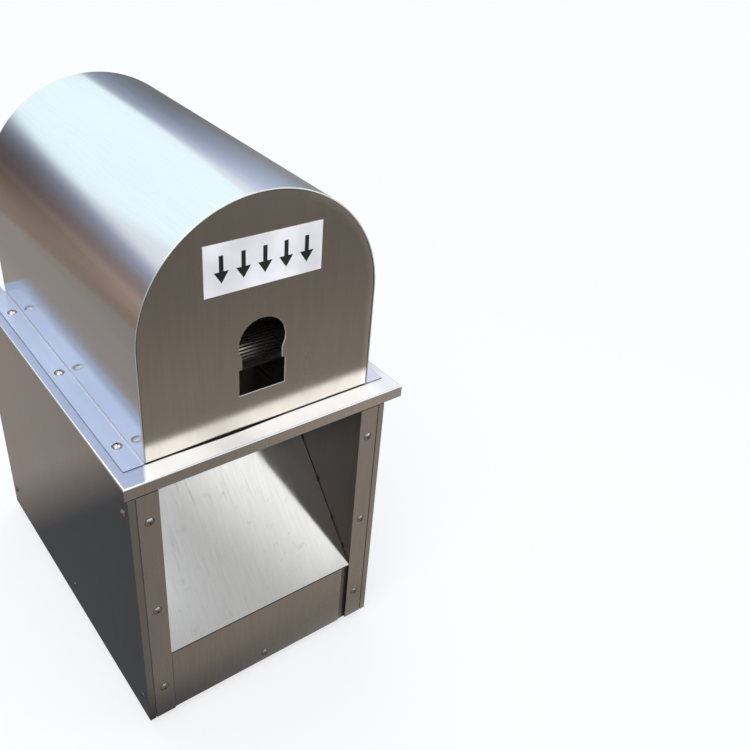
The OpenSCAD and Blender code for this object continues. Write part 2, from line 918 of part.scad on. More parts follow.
module front_screws() {
    color(bright) {
        for (side = [-1, 1], z = front_screw_z(side))
            translate([side < 0 ? post_screw_x[0] : post_screw_x[1], cab_y0, z])
                rotate([90, 0, 0])
                    pan_screw();
        translate([mid_x, in_y0, foot_h + front_bolt_low])
            rotate([90, 0, 0])
                pan_screw();
    }
}

module panel_screws() {
    color(bright) {
        for (p = side_screws) {
            translate([cab_x0, p[0], p[1]])
                rotate([0, -90, 0])
                    low_screw();
            translate([cab_x1, p[0], p[1]])
                rotate([0, 90, 0])
                    low_screw();
        }
        for (x = rear_screw_x, z = side_screw_z)
            translate([x, cab_y1, z])
                rotate([-90, 0, 0])
                    pan_screw();
    }
}

// Bolts that hold the bearing plates to the table top and the knife ring between them.
module frame_bolts() {
    color(iron) {
        for (x = [-foot_bolt_x, foot_bolt_x], y = foot_bolt_y)
            translate([feed_x + x, y, top_z + plate_foot_t])
                foot_bolt();
        for (z = ring_bolt_z) {
            translate([feed_x - plate_in - plate_t, ring_y, z])
                rotate([0, -90, 0])
                    ring_bolt();
            translate([feed_x + plate_in + plate_t, ring_y, z])
                rotate([0, 90, 0])
                    ring_bolt();
        }
    }
}

// A bearing plate for the right side, with the feed line at x = 0.
module bearing_plate() {
    difference() {
        union() {
            translate([plate_in, 0, 0])
                along_x()
                    linear_extrude(plate_t)
                        polygon([[plate_y0, top_z], [plate_y1, top_z], [plate_y1, plate_top - plate_corner],
                            [plate_y1 - plate_corner, plate_top], [plate_y0 + plate_corner, plate_top],
                            [plate_y0, plate_top - plate_corner]]);
            box([plate_in - plate_foot_w, plate_y0, top_z],
                [plate_in + cut, plate_y1, top_z + plate_foot_t]);
            for (dy = [-spring_dy, spring_dy])
                translate([plate_in - anchor_len, ring_y + dy, anchor_pin_z])
                    along_x()
                        cylinder(r = anchor_r, h = anchor_len + cut);
        }
        for (dy = [-roller_dy, roller_dy])
            translate([plate_in - cut, ring_y + dy, lower_z])
                along_x()
                    cylinder(r = shaft_r + bush_wall + run_gap, h = plate_t + 2 * cut);
        for (dy = [-pivot_dy, pivot_dy])
            translate([plate_in - cut, ring_y + dy, arm_pivot_z])
                along_x()
                    cylinder(r = pivot_pin_r + run_gap, h = plate_t + 2 * cut);
        for (z = ring_bolt_z)
            translate([plate_in - cut, ring_y, z])
                along_x()
                    cylinder(r = ring_bolt_r + hole_gap, h = plate_t + 2 * cut);
        for (y = foot_bolt_y)
            translate([foot_bolt_x, y, top_z - cut])
                cylinder(r = bolt_r + hole_gap, h = plate_foot_t + 2 * cut);
    }
}

module bearing_plate_left() {
    color(steel)
        translate([feed_x, 0, 0])
            mirror([1, 0, 0])
                bearing_plate();
}

module bearing_plate_right() {
    color(steel)
        translate([feed_x, 0, 0])
            bearing_plate();
}

module roller_bush() {
    difference() {
        union() {
            cylinder(r = shaft_r + bush_wall + bush_rim, h = bush_flange);
            cylinder(r = shaft_r + bush_wall, h = bush_flange + plate_t + bush_out);
        }
        translate([0, 0, -cut])
            cylinder(r = shaft_r + run_gap, h = bush_flange + plate_t + bush_out + 2 * cut);
    }
}

module roller_bushes() {
    color("#b08d57")
        for (side = [0, 1], dy = [-roller_dy, roller_dy])
            translate([feed_x, ring_y + dy, lower_z])
                mirror([side, 0, 0])
                    translate([plate_in - bush_flange, 0, 0])
                        along_x()
                            roller_bush();
}

// A flute's corners as parts of the distance from one flute to the next.
flute_turns = [-0.3, 0.3, 0.42, 0.58];

// The end view of a fluted roller: lands at radius r with grooves between.
function flute_ring(r, n) = [for (i = [0:n - 1], k = [0:3])
    let (a = (i + flute_turns[k]) * 360 / n, q = k < 2 ? r : r - flute_depth)
    [q * cos(a), q * sin(a)]];

module fluted_roller(r, half) {
    translate([-half, 0, 0])
        along_x()
            linear_extrude(2 * half)
                polygon(flute_ring(r, flute_n));
}

// A lower roller with its shaft, which ends at the right at x1.
module lower_roller(y, x1) {
    x0 = -plate_in - plate_t - bush_out - shaft_out;
    color(bright)
        translate([feed_x, y, lower_z]) {
            fluted_roller(lower_r, lower_half);
            translate([x0, 0, 0])
                along_x()
                    cylinder(r = shaft_r, h = x1 - x0);
        }
}

module lower_front_roller() {
    lower_roller(front_roller[0], roller_belt_x + pulley_rim + shaft_out);
}

module lower_rear_roller() {
    lower_roller(rear_roller[0], drive_belt_x + pulley_rim + shaft_out);
}

// The outline of a pulley rim with one V groove, as radius and width.
function groove(p, x) = let (r = p + belt_h / 2 + seat_gap, deep = r - belt_h - groove_spare,
    wide = belt_w / 2 + groove_gap, slim = belt_w / 2 - groove_draw)
    [[r, x - pulley_rim], [r, x - wide], [deep, x - slim], [deep, x + slim], [r, x + wide],
     [r, x + pulley_rim]];

// A pulley on the X axis, bored for a shaft, with one groove for each [pitch radius, x].
module pulley(grooves, bore) {
    x0 = grooves[0][1] - pulley_rim;
    x1 = grooves[len(grooves) - 1][1] + pulley_rim;
    rim = [for (g = grooves) each groove(g[0], g[1])];
    along_x()
        rotate_extrude()
            polygon(concat([[bore + run_gap, x0]], rim, [[bore + run_gap, x1]]));
}

module front_pulley() {
    color(iron)
        translate([feed_x, front_roller[0], front_roller[1]])
            pulley([[roller_pulley_p, roller_belt_x]], shaft_r);
}

module rear_pulley() {
    color(iron)
        translate([feed_x, rear_roller[0], rear_roller[1]])
            pulley([[roller_pulley_p, roller_belt_x], [driven_pulley_p, drive_belt_x]], shaft_r);
}

module motor_pulley() {
    color(iron)
        translate([feed_x, output_axis[0], output_axis[1]])
            pulley([[motor_pulley_p, drive_belt_x]], output_r);
}

// The section of a belt, as radius from its pitch line and width. A straight run is slimmer
// by inset, and its ends lie inside the arcs.
module belt_section(inset = 0) {
    half_h = belt_h / 2 - inset;
    half_w = belt_w / 2 - inset;
    polygon([[-half_h, belt_flank - half_w], [half_h, -half_w], [half_h, half_w],
        [-half_h, half_w - belt_flank]]);
}

// A belt round two pulleys of pitch radii p1 and p2, whose centres are given in Y and Z.
module belt(c1, p1, c2, p2, x) {
    d = norm(c2 - c1);
    lie = atan2(c2[1] - c1[1], c2[0] - c1[0]);
    wrap = acos((p1 - p2) / d);
    run = sqrt(d * d - (p1 - p2) * (p1 - p2));
    translate([x, 0, 0])
        along_x() {
            translate([c1[0], c1[1], 0]) {
                rotate([0, 0, lie + wrap])
                    rotate_extrude(angle = 360 - 2 * wrap)
                        translate([p1, 0])
                            belt_section();
                rotate([0, 0, lie + wrap])
                    translate([p1, belt_lap, 0])
                        rotate([90, 0, 0])
                            linear_extrude(run + 2 * belt_lap)
                                belt_section(run_inset);
                rotate([0, 0, lie - wrap])
                    translate([p1, run + belt_lap, 0])
                        rotate([90, 0, 0])
                            linear_extrude(run + 2 * belt_lap)
                                belt_section(run_inset);
            }
            translate([c2[0], c2[1], 0])
                rotate([0, 0, lie - wrap])
                    rotate_extrude(angle = 2 * wrap)
                        translate([p2, 0])
                            belt_section();
        }
}

module drive_belt() {
    color(rubber)
        belt(rear_roller, driven_pulley_p, output_axis, motor_pulley_p, belt_x2);
}

module roller_belt() {
    color(rubber)
        belt(front_roller, roller_pulley_p, rear_roller, roller_pulley_p, belt_x1);
}

// A straight link between two points, with round ends and a slightly narrower bar.
module link(a, b, r) {
    half = r - link_waist;
    translate(a)
        circle(r);
    translate(b)
        circle(r);
    translate(a)
        rotate(atan2(b[1] - a[1], b[0] - a[0]))
            translate([0, -half])
                square([norm(b - a), 2 * half]);
}

// A roller arm: two levers on a pivot tube, with a pin for a spring on each lever.
module roller_arm(side) {
    pivot = [ring_y + side * pivot_dy, arm_pivot_z];
    axle = [ring_y + side * roller_dy, upper_z];
    pin = [ring_y + side * spring_dy, arm_pin_z];
    color(iron)
        translate([feed_x, 0, 0])
            difference() {
                union() {
                    for (x = [-lever_in - lever_t, lever_in])
                        translate([x, 0, 0])
                            along_x()
                                linear_extrude(lever_t) {
                                    link(pivot, axle, lever_r);
                                    link(axle, pin, lever_r / 2);
                                }
                    translate([-lever_in - cut, pivot[0], pivot[1]])
                        along_x()
                            cylinder(r = pivot_pin_r + pivot_wall, h = 2 * (lever_in + cut));
                    for (x = [-spring_pin_end, lever_in])
                        translate([x, pin[0], pin[1]])
                            along_x()
                                cylinder(r = anchor_r, h = spring_pin_end - lever_in);
                }
                translate([-lever_in - lever_t - cut, pivot[0], pivot[1]])
                    along_x()
                        cylinder(r = pivot_pin_r + run_gap, h = 2 * (lever_in + lever_t + cut));
                translate([-lever_in - lever_t - cut, axle[0], axle[1]])
                    along_x()
                        cylinder(r = pivot_pin_r + run_gap, h = 2 * (lever_in + lever_t + cut));
            }
}

module upper_front_arm() {
    roller_arm(-1);
}

module upper_rear_arm() {
    roller_arm(1);
}

module upper_roller(side) {
    color(bright)
        translate([feed_x, ring_y + side * roller_dy, upper_z]) {
            fluted_roller(upper_r, upper_half);
            translate([-lever_in - lever_t, 0, 0])
                along_x()
                    cylinder(r = pivot_pin_r, h = 2 * (lever_in + lever_t));
        }
}

module upper_front_roller() {
    upper_roller(-1);
}

module upper_rear_roller() {
    upper_roller(1);
}

module arm_pivot_pins() {
    color(bright)
        for (dy = [-pivot_dy, pivot_dy])
            translate([feed_x - plate_in - plate_t, ring_y + dy, arm_pivot_z])
                along_x() {
                    cylinder(r = pivot_pin_r, h = 2 * (plate_in + plate_t));
                    for (x = [-pin_head, 2 * (plate_in + plate_t)])
                        translate([0, 0, x])
                            cylinder(r = pivot_pin_r + pin_head, h = pin_head);
                }
}

// The points of a coil spring that stands on z = 0 and is l high, with straight ends.
function coil_points(r, wire, turns, l) = let (n = turns * rings_per_turn, rise = l - 4 * wire)
    concat([[r, 0, 0]], [for (i = [0:n]) let (a = 360 * i / rings_per_turn)
        [r * cos(a), r * sin(a), 2 * wire + rise * i / n]], [[r, 0, l]]);
function turn_of(i, n) = 360 * max(0, min(i - 1, n)) / rings_per_turn;
function unit(v) = v / norm(v);
function coil_rings(p, wire) = let (last = len(p) - 1) [for (i = [0:last], k = [0:wire_sides - 1])
    let (t = unit(p[min(i + 1, last)] - p[max(i - 1, 0)]), a = turn_of(i, last - 2),
         out = [cos(a), sin(a), 0], across = unit(cross(t, out)), f = 360 * k / wire_sides)
    p[i] + wire * (cos(f) * unit(cross(across, t)) + sin(f) * across)];
function tube_faces(rings) = concat(
    [for (k = [1:wire_sides - 2]) [0, k, k + 1]],
    [for (i = [0:rings - 2], k = [0:wire_sides - 1]) let (a = i * wire_sides + k,
        b = i * wire_sides + (k + 1) % wire_sides) each [[a, a + wire_sides, b],
        [b, a + wire_sides, b + wire_sides]]],
    [for (k = [1:wire_sides - 2]) let (e = (rings - 1) * wire_sides) [e, e + k + 1, e + k]]);
function least_gap(p, wire) = min([for (i = [0:len(p) - 1], j = [i + rings_per_turn / 2:1:len(p) - 1])
    norm(p[i] - p[j]) - 2 * wire]);

module coil_spring(r, wire, turns, l) {
    p = coil_points(r, wire, turns, l);
    echo(least_gap_mm = least_gap(p, wire));
    polyhedron(coil_rings(p, wire), tube_faces(len(p)));
}

// The pair of springs that pull one roller arm down.
module arm_springs(side) {
    z0 = anchor_pin_z + anchor_r + seat_gap;
    z1 = arm_pin_z - anchor_r - seat_gap;
    color(bright)
        for (x = [-spring_x, spring_x])
            translate([feed_x + x, ring_y + side * spring_dy, z0])
                coil_spring(arm_spring_r, arm_spring_wire, arm_spring_turns, z1 - z0);
}

module front_arm_springs() {
    arm_springs(-1);
}

module rear_arm_springs() {
    arm_springs(1);
}

// Turns a shape drawn with X across, Y along the cane and Z outwards to a knife's place.
module at_knife(angle) {
    translate([feed_x, ring_y, knife_cz])
        rotate([0, angle, 0])
            children();
}

module knife_ring() {
    color(steel)
        difference() {
            union() {
                box([feed_x - plate_in, ring_y - ring_t / 2, knife_cz - ring_half_h],
                    [feed_x + plate_in, ring_y + ring_t / 2, knife_cz + ring_half_h]);
                for (angle = knife_angles, side = [0, 1])
                    at_knife(angle)
                        mirror([side, 0, 0])
                            translate([ear_in, 0, 0])
                                along_x()
                                    linear_extrude(ear_t) {
                                        translate([0, knife_pivot_r - ear_r])
                                            square([knife_pivot_y, 2 * ear_r]);
                                        translate([knife_pivot_y, knife_pivot_r])
                                            circle(ear_r);
                                    }
            }
            translate([feed_x, ring_y - ring_t, knife_cz])
                rotate([-90, 0, 0])
                    cylinder(r = ring_hole_r, h = 2 * ring_t);
            for (angle = knife_angles)
                at_knife(angle)
                    translate([-ear_in - ear_t - cut, knife_pivot_y, knife_pivot_r])
                        along_x()
                            cylinder(r = knife_pin_r + run_gap, h = 2 * (ear_in + ear_t + cut));
            for (z = ring_bolt_z, x = [feed_x - plate_in - cut, feed_x + plate_in + cut - ring_hole])
                translate([x, ring_y, z])
                    along_x()
                        cylinder(r = ring_bolt_r + hole_gap, h = ring_hole);
        }
}

// A knife: an eye on its pin, an arm to the hollow-ground edge, and a tail for the spring.
module knife(angle) {
    tip_y = knife_pivot_y + knife_reach;
    tip_r = knife_gap_r;
    color(bright)
        at_knife(angle)
            difference() {
                union() {
                    translate([-knife_arm_w / 2, 0, 0])
                        along_x()
                            linear_extrude(knife_arm_w) {
                                link([knife_pivot_y, knife_pivot_r],
                                    [tip_y - knife_heel, tip_r + knife_block_h], knife_neck_r);
                                translate([knife_pivot_y, knife_pivot_r])
                                    circle(knife_eye_r);
                                translate([knife_pivot_y - knife_tail_t / 2, knife_pivot_r])
                                    square([knife_tail_t, knife_tail]);
                            }
                    translate([-knife_w / 2, 0, 0])
                        along_x()
                            linear_extrude(knife_w)
                                polygon([[tip_y - knife_toe, tip_r - knife_hollow],
                                    [tip_y + knife_lead, tip_r - knife_hollow],
                                    [tip_y + knife_lead, tip_r + knife_heel_h],
                                    [tip_y - knife_heel, tip_r + knife_heel_h],
                                    [tip_y - knife_toe, tip_r + knife_edge]]);
                }
                translate([0, tip_y - knife_reach, 0])
                    rotate([-90, 0, 0])
                        cylinder(r = knife_gap_r, h = 2 * knife_reach);
                translate([-knife_w, knife_pivot_y, knife_pivot_r])
                    along_x()
                        cylinder(r = knife_pin_r + run_gap, h = 2 * knife_w);
            }
}

module knife_1() {
    knife(knife_angles[0]);
}

module knife_2() {
    knife(knife_angles[1]);
}

module knife_3() {
    knife(knife_angles[2]);
}

module knife_4() {
    knife(knife_angles[3]);
}

module knife_pins() {
    color(bright)
        for (angle = knife_angles)
            at_knife(angle)
                translate([-ear_in - ear_t - knife_pin_past, knife_pivot_y, knife_pivot_r])
                    along_x()
                        cylinder(r = knife_pin_r, h = 2 * (ear_in + ear_t + knife_pin_past));
}

module knife_springs() {
    color(bright)
        for (angle = knife_angles)
            at_knife(angle)
                translate([0, ring_t / 2 + seat_gap, knife_spring_at])
                    rotate([-90, 0, 0])
                        coil_spring(knife_spring_r, knife_spring_wire, knife_spring_turns, knife_spring_l);
}

// A gear tooth's corners as parts of a pitch, and its height over and under the pitch line in modules.
tooth_turns = [-0.29, -0.11, 0.11, 0.29];
tooth_top = 0.85;
tooth_root = 1.2;

// The end view of a spur gear, turned by offset degrees.
function gear_outline(n, offset) = [for (i = [0:n - 1], k = [0:3])
    let (a = offset + (i + tooth_turns[k]) * 360 / n,
         q = gear_m * (n / 2 + (k == 1 || k == 2 ? tooth_top : -tooth_root)))
    [q * cos(a), q * sin(a)]];

// The outline of the gearbox round both axes, standing on the bottom tray.
module gearbox_outline(wall) {
    r = gearbox_r - wall;
    translate(output_axis)
        circle(r);
    translate([motor_y - r, tray_z + wall])
        square([2 * r, output_axis[1] - tray_z - wall]);
}

module motor_housing() {
    terminal_x = motor_x0 + terminal_in;
    foot_top = motor_axis[1] - motor_r + motor_foot_h;
    crown = motor_axis[1] + motor_r;
    color(iron)
        difference() {
            union() {
                translate([motor_x0, motor_axis[0], motor_axis[1]])
                    along_x() {
                        cylinder(r = motor_r - fin_h, h = motor_len + motor_flange);
                        cylinder(r = cover_r - sheet - hole_gap, h = cover_lap);
                        for (i = [0:fin_n - 1])
                            rotate([0, 0, i * 360 / fin_n])
                                translate([motor_r - fin_h - fin_root, -fin_t / 2, 2 * cover_lap])
                                    cube([fin_h + fin_root, fin_t, motor_len - 2 * cover_lap]);
                    }
                translate([motor_x1, 0, 0])
                    along_x()
                        linear_extrude(motor_flange)
                            gearbox_outline(0);
                for (x = [motor_x0 + motor_foot_in, motor_x1 - motor_foot_in - motor_foot_len])
                    box([x, motor_y - motor_foot_half, tray_z],
                        [x + motor_foot_len, motor_y + motor_foot_half, foot_top]);
                box([terminal_x, motor_y - terminal_half, crown - terminal_sink],
                    [terminal_x + terminal_len, motor_y + terminal_half, crown + terminal_h]);
            }
            translate([motor_x0 + end_shield, motor_axis[0], motor_axis[1]])
                along_x()
                    cylinder(r = rotor_r + air_gap, h = motor_len - 2 * end_shield);
            translate([motor_x0 - cut, motor_axis[0], motor_axis[1]])
                along_x()
                    cylinder(r = motor_shaft_r + run_gap, h = motor_len + motor_flange + 2 * cut);
            translate([gearbox_x0 - output_seat, output_axis[0], output_axis[1]])
                along_x()
                    cylinder(r = output_r + run_gap, h = output_seat + cut);
        }
}

module motor_fan_cover() {
    color(dark)
        translate([motor_x0 - cover_len, motor_axis[0], motor_axis[1]])
            along_x()
                difference() {
                    cylinder(r = cover_r, h = cover_len + cover_lap);
                    translate([0, 0, sheet])
                        cylinder(r = cover_r - sheet, h = cover_len + cover_lap);
                    for (ring = air_hole_rings, turn = [0:air_hole_n - 1])
                        rotate([0, 0, turn * 360 / air_hole_n + ring])
                            translate([ring, 0, -cut])
                                cylinder(r = air_hole_r, h = sheet + 2 * cut);
                }
}

module motor_fan() {
    hub = motor_shaft_r + fan_hub_wall;
    tip = motor_r - fan_tip_gap;
    color(dark)
        translate([motor_x0 - fan_len - fan_off, motor_axis[0], motor_axis[1]])
            along_x()
                difference() {
                    union() {
                        cylinder(r = hub, h = fan_len);
                        translate([0, 0, fan_len - fan_disc_t])
                            cylinder(r = tip, h = fan_disc_t);
                        for (i = [0:fan_blade_n - 1])
                            rotate([0, 0, i * 360 / fan_blade_n])
                                translate([hub - fan_hub_lap, -fan_blade_t / 2, 0])
                                    cube([tip - hub, fan_blade_t, fan_len - fan_disc_t / 2]);
                    }
                    translate([0, 0, -cut])
                        cylinder(r = motor_shaft_r + run_gap, h = fan_len + 2 * cut);
                }
}

module motor_shaft() {
    x0 = motor_x0 - fan_len - fan_off - shaft_past_fan;
    x1 = gear_x0 + gear_w + shaft_past_gear;
    color(bright)
        translate([0, motor_axis[0], motor_axis[1]]) {
            translate([x0, 0, 0])
                along_x()
                    cylinder(r = motor_shaft_r, h = x1 - x0);
            translate([motor_x0 + rotor_end, 0, 0])
                along_x()
                    cylinder(r = rotor_r, h = motor_len - 2 * rotor_end);
            translate([gear_x0, 0, 0])
                along_x()
                    linear_extrude(gear_w)
                        polygon(gear_outline(pinion_n, 90 + 180 / pinion_n));
        }
}

module gearbox_housing() {
    color(iron)
        difference() {
            union() {
                translate([gearbox_x0, 0, 0])
                    along_x()
                        linear_extrude(gearbox_len)
                            gearbox_outline(0);
                translate([gearbox_x1, output_axis[0], output_axis[1]])
                    along_x()
                        cylinder(r = output_r + gearbox_boss_wall, h = gearbox_boss);
            }
            translate([gearbox_x0 - cut, 0, 0])
                along_x()
                    linear_extrude(gearbox_len - gearbox_wall + cut)
                        gearbox_outline(gearbox_wall);
            translate([gearbox_x1 - gearbox_wall - cut, output_axis[0], output_axis[1]])
                along_x()
                    cylinder(r = output_r + run_gap, h = gearbox_wall + gearbox_boss + 2 * cut);
        }
}

module output_shaft() {
    x0 = gearbox_x0 - output_seat + output_seat_gap;
    color(bright)
        translate([x0, output_axis[0], output_axis[1]])
            along_x()
                cylinder(r = output_r, h = output_x1 - x0);
}

module output_gear() {
    color(steel)
        translate([gear_x0, output_axis[0], output_axis[1]])
            along_x()
                linear_extrude(gear_w)
                    difference() {
                        polygon(gear_outline(gear_n, 270));
                        circle(output_r + run_gap);
                    }
}

module switch_box() {
    color(rubber)
        difference() {
            box([cab_x1, switch_y - switch_w / 2, switch_z - switch_h / 2],
                [switch_x1, switch_y + switch_w / 2, switch_z + switch_h / 2]);
            for (side = [-1, 1])
                translate([switch_x1 - button_bore, switch_y, switch_z + side * button_dz])
                    along_x()
                        cylinder(r = button_r + run_gap, h = button_bore + cut);
        }
}

// A push button that slides in a blind bore of the switch box.
module push_button(z) {
    translate([switch_x1 - button_depth, switch_y, z])
        along_x()
            cylinder(r = button_r, h = button_depth + button_out);
}

module start_button() {
    color("#2f8f4e")
        push_button(switch_z + button_dz);
}

module stop_button() {
    color("#c0302b")
        push_button(switch_z - button_dz);
}

module cable_gland() {
    color(rubber)
        translate([cab_x1, gland_y, gland_z])
            rotate([0, 90, 0])
                difference() {
                    union() {
                        cylinder(r = gland_hex_r, h = gland_collar_h, $fn = 6);
                        cylinder(r1 = gland_r, r2 = gland_tip_r, h = gland_out);
                        translate([0, 0, -gland_in])
                            cylinder(r = gland_thread_r, h = gland_in + cut);
                        translate([0, 0, -sheet - gland_nut_h])
                            cylinder(r = gland_hex_r, h = gland_nut_h, $fn = 6);
                    }
                    translate([0, 0, -gland_in - cut])
                        cylinder(r = gland_bore_r, h = gland_in + gland_out + 2 * cut);
                }
}

top_plate();
hood_shell();
hood_front_plate();
hood_rear_plate();
inlet_sign();
left_side_panel();
right_side_panel();
rear_panel();
front_post_left();
front_post_right();
front_lower_panel();
chute_sheet();
chute_cheek_left();
chute_cheek_right();
bottom_tray();
corner_angle_front_left();
corner_angle_front_right();
corner_angle_rear_left();
corner_angle_rear_right();
feet();
hood_screws();
front_screws();
panel_screws();
frame_bolts();
bearing_plate_left();
bearing_plate_right();
roller_bushes();
lower_front_roller();
lower_rear_roller();
front_pulley();
rear_pulley();
drive_belt();
roller_belt();
upper_front_arm();
upper_rear_arm();
upper_front_roller();
upper_rear_roller();
arm_pivot_pins();
front_arm_springs();
rear_arm_springs();
knife_ring();
knife_1();
knife_2();
knife_3();
knife_4();
knife_pins();
knife_springs();
motor_housing();
motor_fan_cover();
motor_fan();
motor_shaft();
gearbox_housing();
output_shaft();
output_gear();
motor_pulley();
switch_box();
start_button();
stop_button();
cable_gland();
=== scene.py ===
"""A sugarcane peeling machine: its looks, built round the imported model. Metres."""

import json
import math

import bmesh
import bpy
from mathutils import Matrix, Vector


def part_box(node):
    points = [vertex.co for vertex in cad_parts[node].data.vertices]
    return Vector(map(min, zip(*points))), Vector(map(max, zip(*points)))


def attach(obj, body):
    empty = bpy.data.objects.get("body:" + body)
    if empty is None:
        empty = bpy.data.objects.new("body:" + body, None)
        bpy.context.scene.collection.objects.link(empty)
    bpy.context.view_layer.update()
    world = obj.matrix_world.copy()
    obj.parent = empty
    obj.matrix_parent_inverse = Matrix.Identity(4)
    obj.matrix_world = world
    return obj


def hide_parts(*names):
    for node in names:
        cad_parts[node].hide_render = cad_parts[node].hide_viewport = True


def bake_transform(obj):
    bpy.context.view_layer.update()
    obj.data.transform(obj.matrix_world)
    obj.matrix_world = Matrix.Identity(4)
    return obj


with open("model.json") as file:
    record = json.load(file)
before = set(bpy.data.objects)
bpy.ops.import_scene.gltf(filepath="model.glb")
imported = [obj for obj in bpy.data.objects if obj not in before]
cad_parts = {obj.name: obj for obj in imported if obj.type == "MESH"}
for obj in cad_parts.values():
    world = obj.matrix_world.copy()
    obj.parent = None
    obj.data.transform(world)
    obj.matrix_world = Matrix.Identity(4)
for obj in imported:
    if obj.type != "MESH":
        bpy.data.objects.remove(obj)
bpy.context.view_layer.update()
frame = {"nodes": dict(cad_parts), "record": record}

MM = 0.001
ROOT = "machine"
TAU = 2 * math.pi

# Nodes, slots and places taken from the frame.
NODE = frame["nodes"]
SLOT_OF = {row["node"]: row["material_slot"] for row in frame["record"]["subparts"]}
TOP_LO, TOP_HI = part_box("top_plate")
HOOD_LO, HOOD_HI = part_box("hood_shell")
SIGN_LO, SIGN_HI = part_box("inlet_sign")
LEFT_LO, LEFT_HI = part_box("left_side_panel")
RIGHT_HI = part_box("right_side_panel")[1]
POST_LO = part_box("front_post_left")[0]
LOWER_LO, LOWER_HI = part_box("front_lower_panel")
CHUTE_LO, CHUTE_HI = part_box("chute_sheet")
CHEEK_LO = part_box("chute_cheek_right")[0]

# The sheets' thickness, how close to a side a point counts as on it, and how much of a face's normal
# points one way when the face counts as facing that way.
SHEET = 1.5 * MM
NEAR = 0.01 * MM
FACING = 0.5

TO_LEFT, TO_RIGHT = (-1, 0, 0), (1, 0, 0)
TO_FRONT, TO_REAR = (0, -1, 0), (0, 1, 0)
UP = (0, 0, 1)


def clear_slots(obj, material):
    """Gives an object one material."""
    obj.data.materials.clear()
    obj.data.materials.append(material)


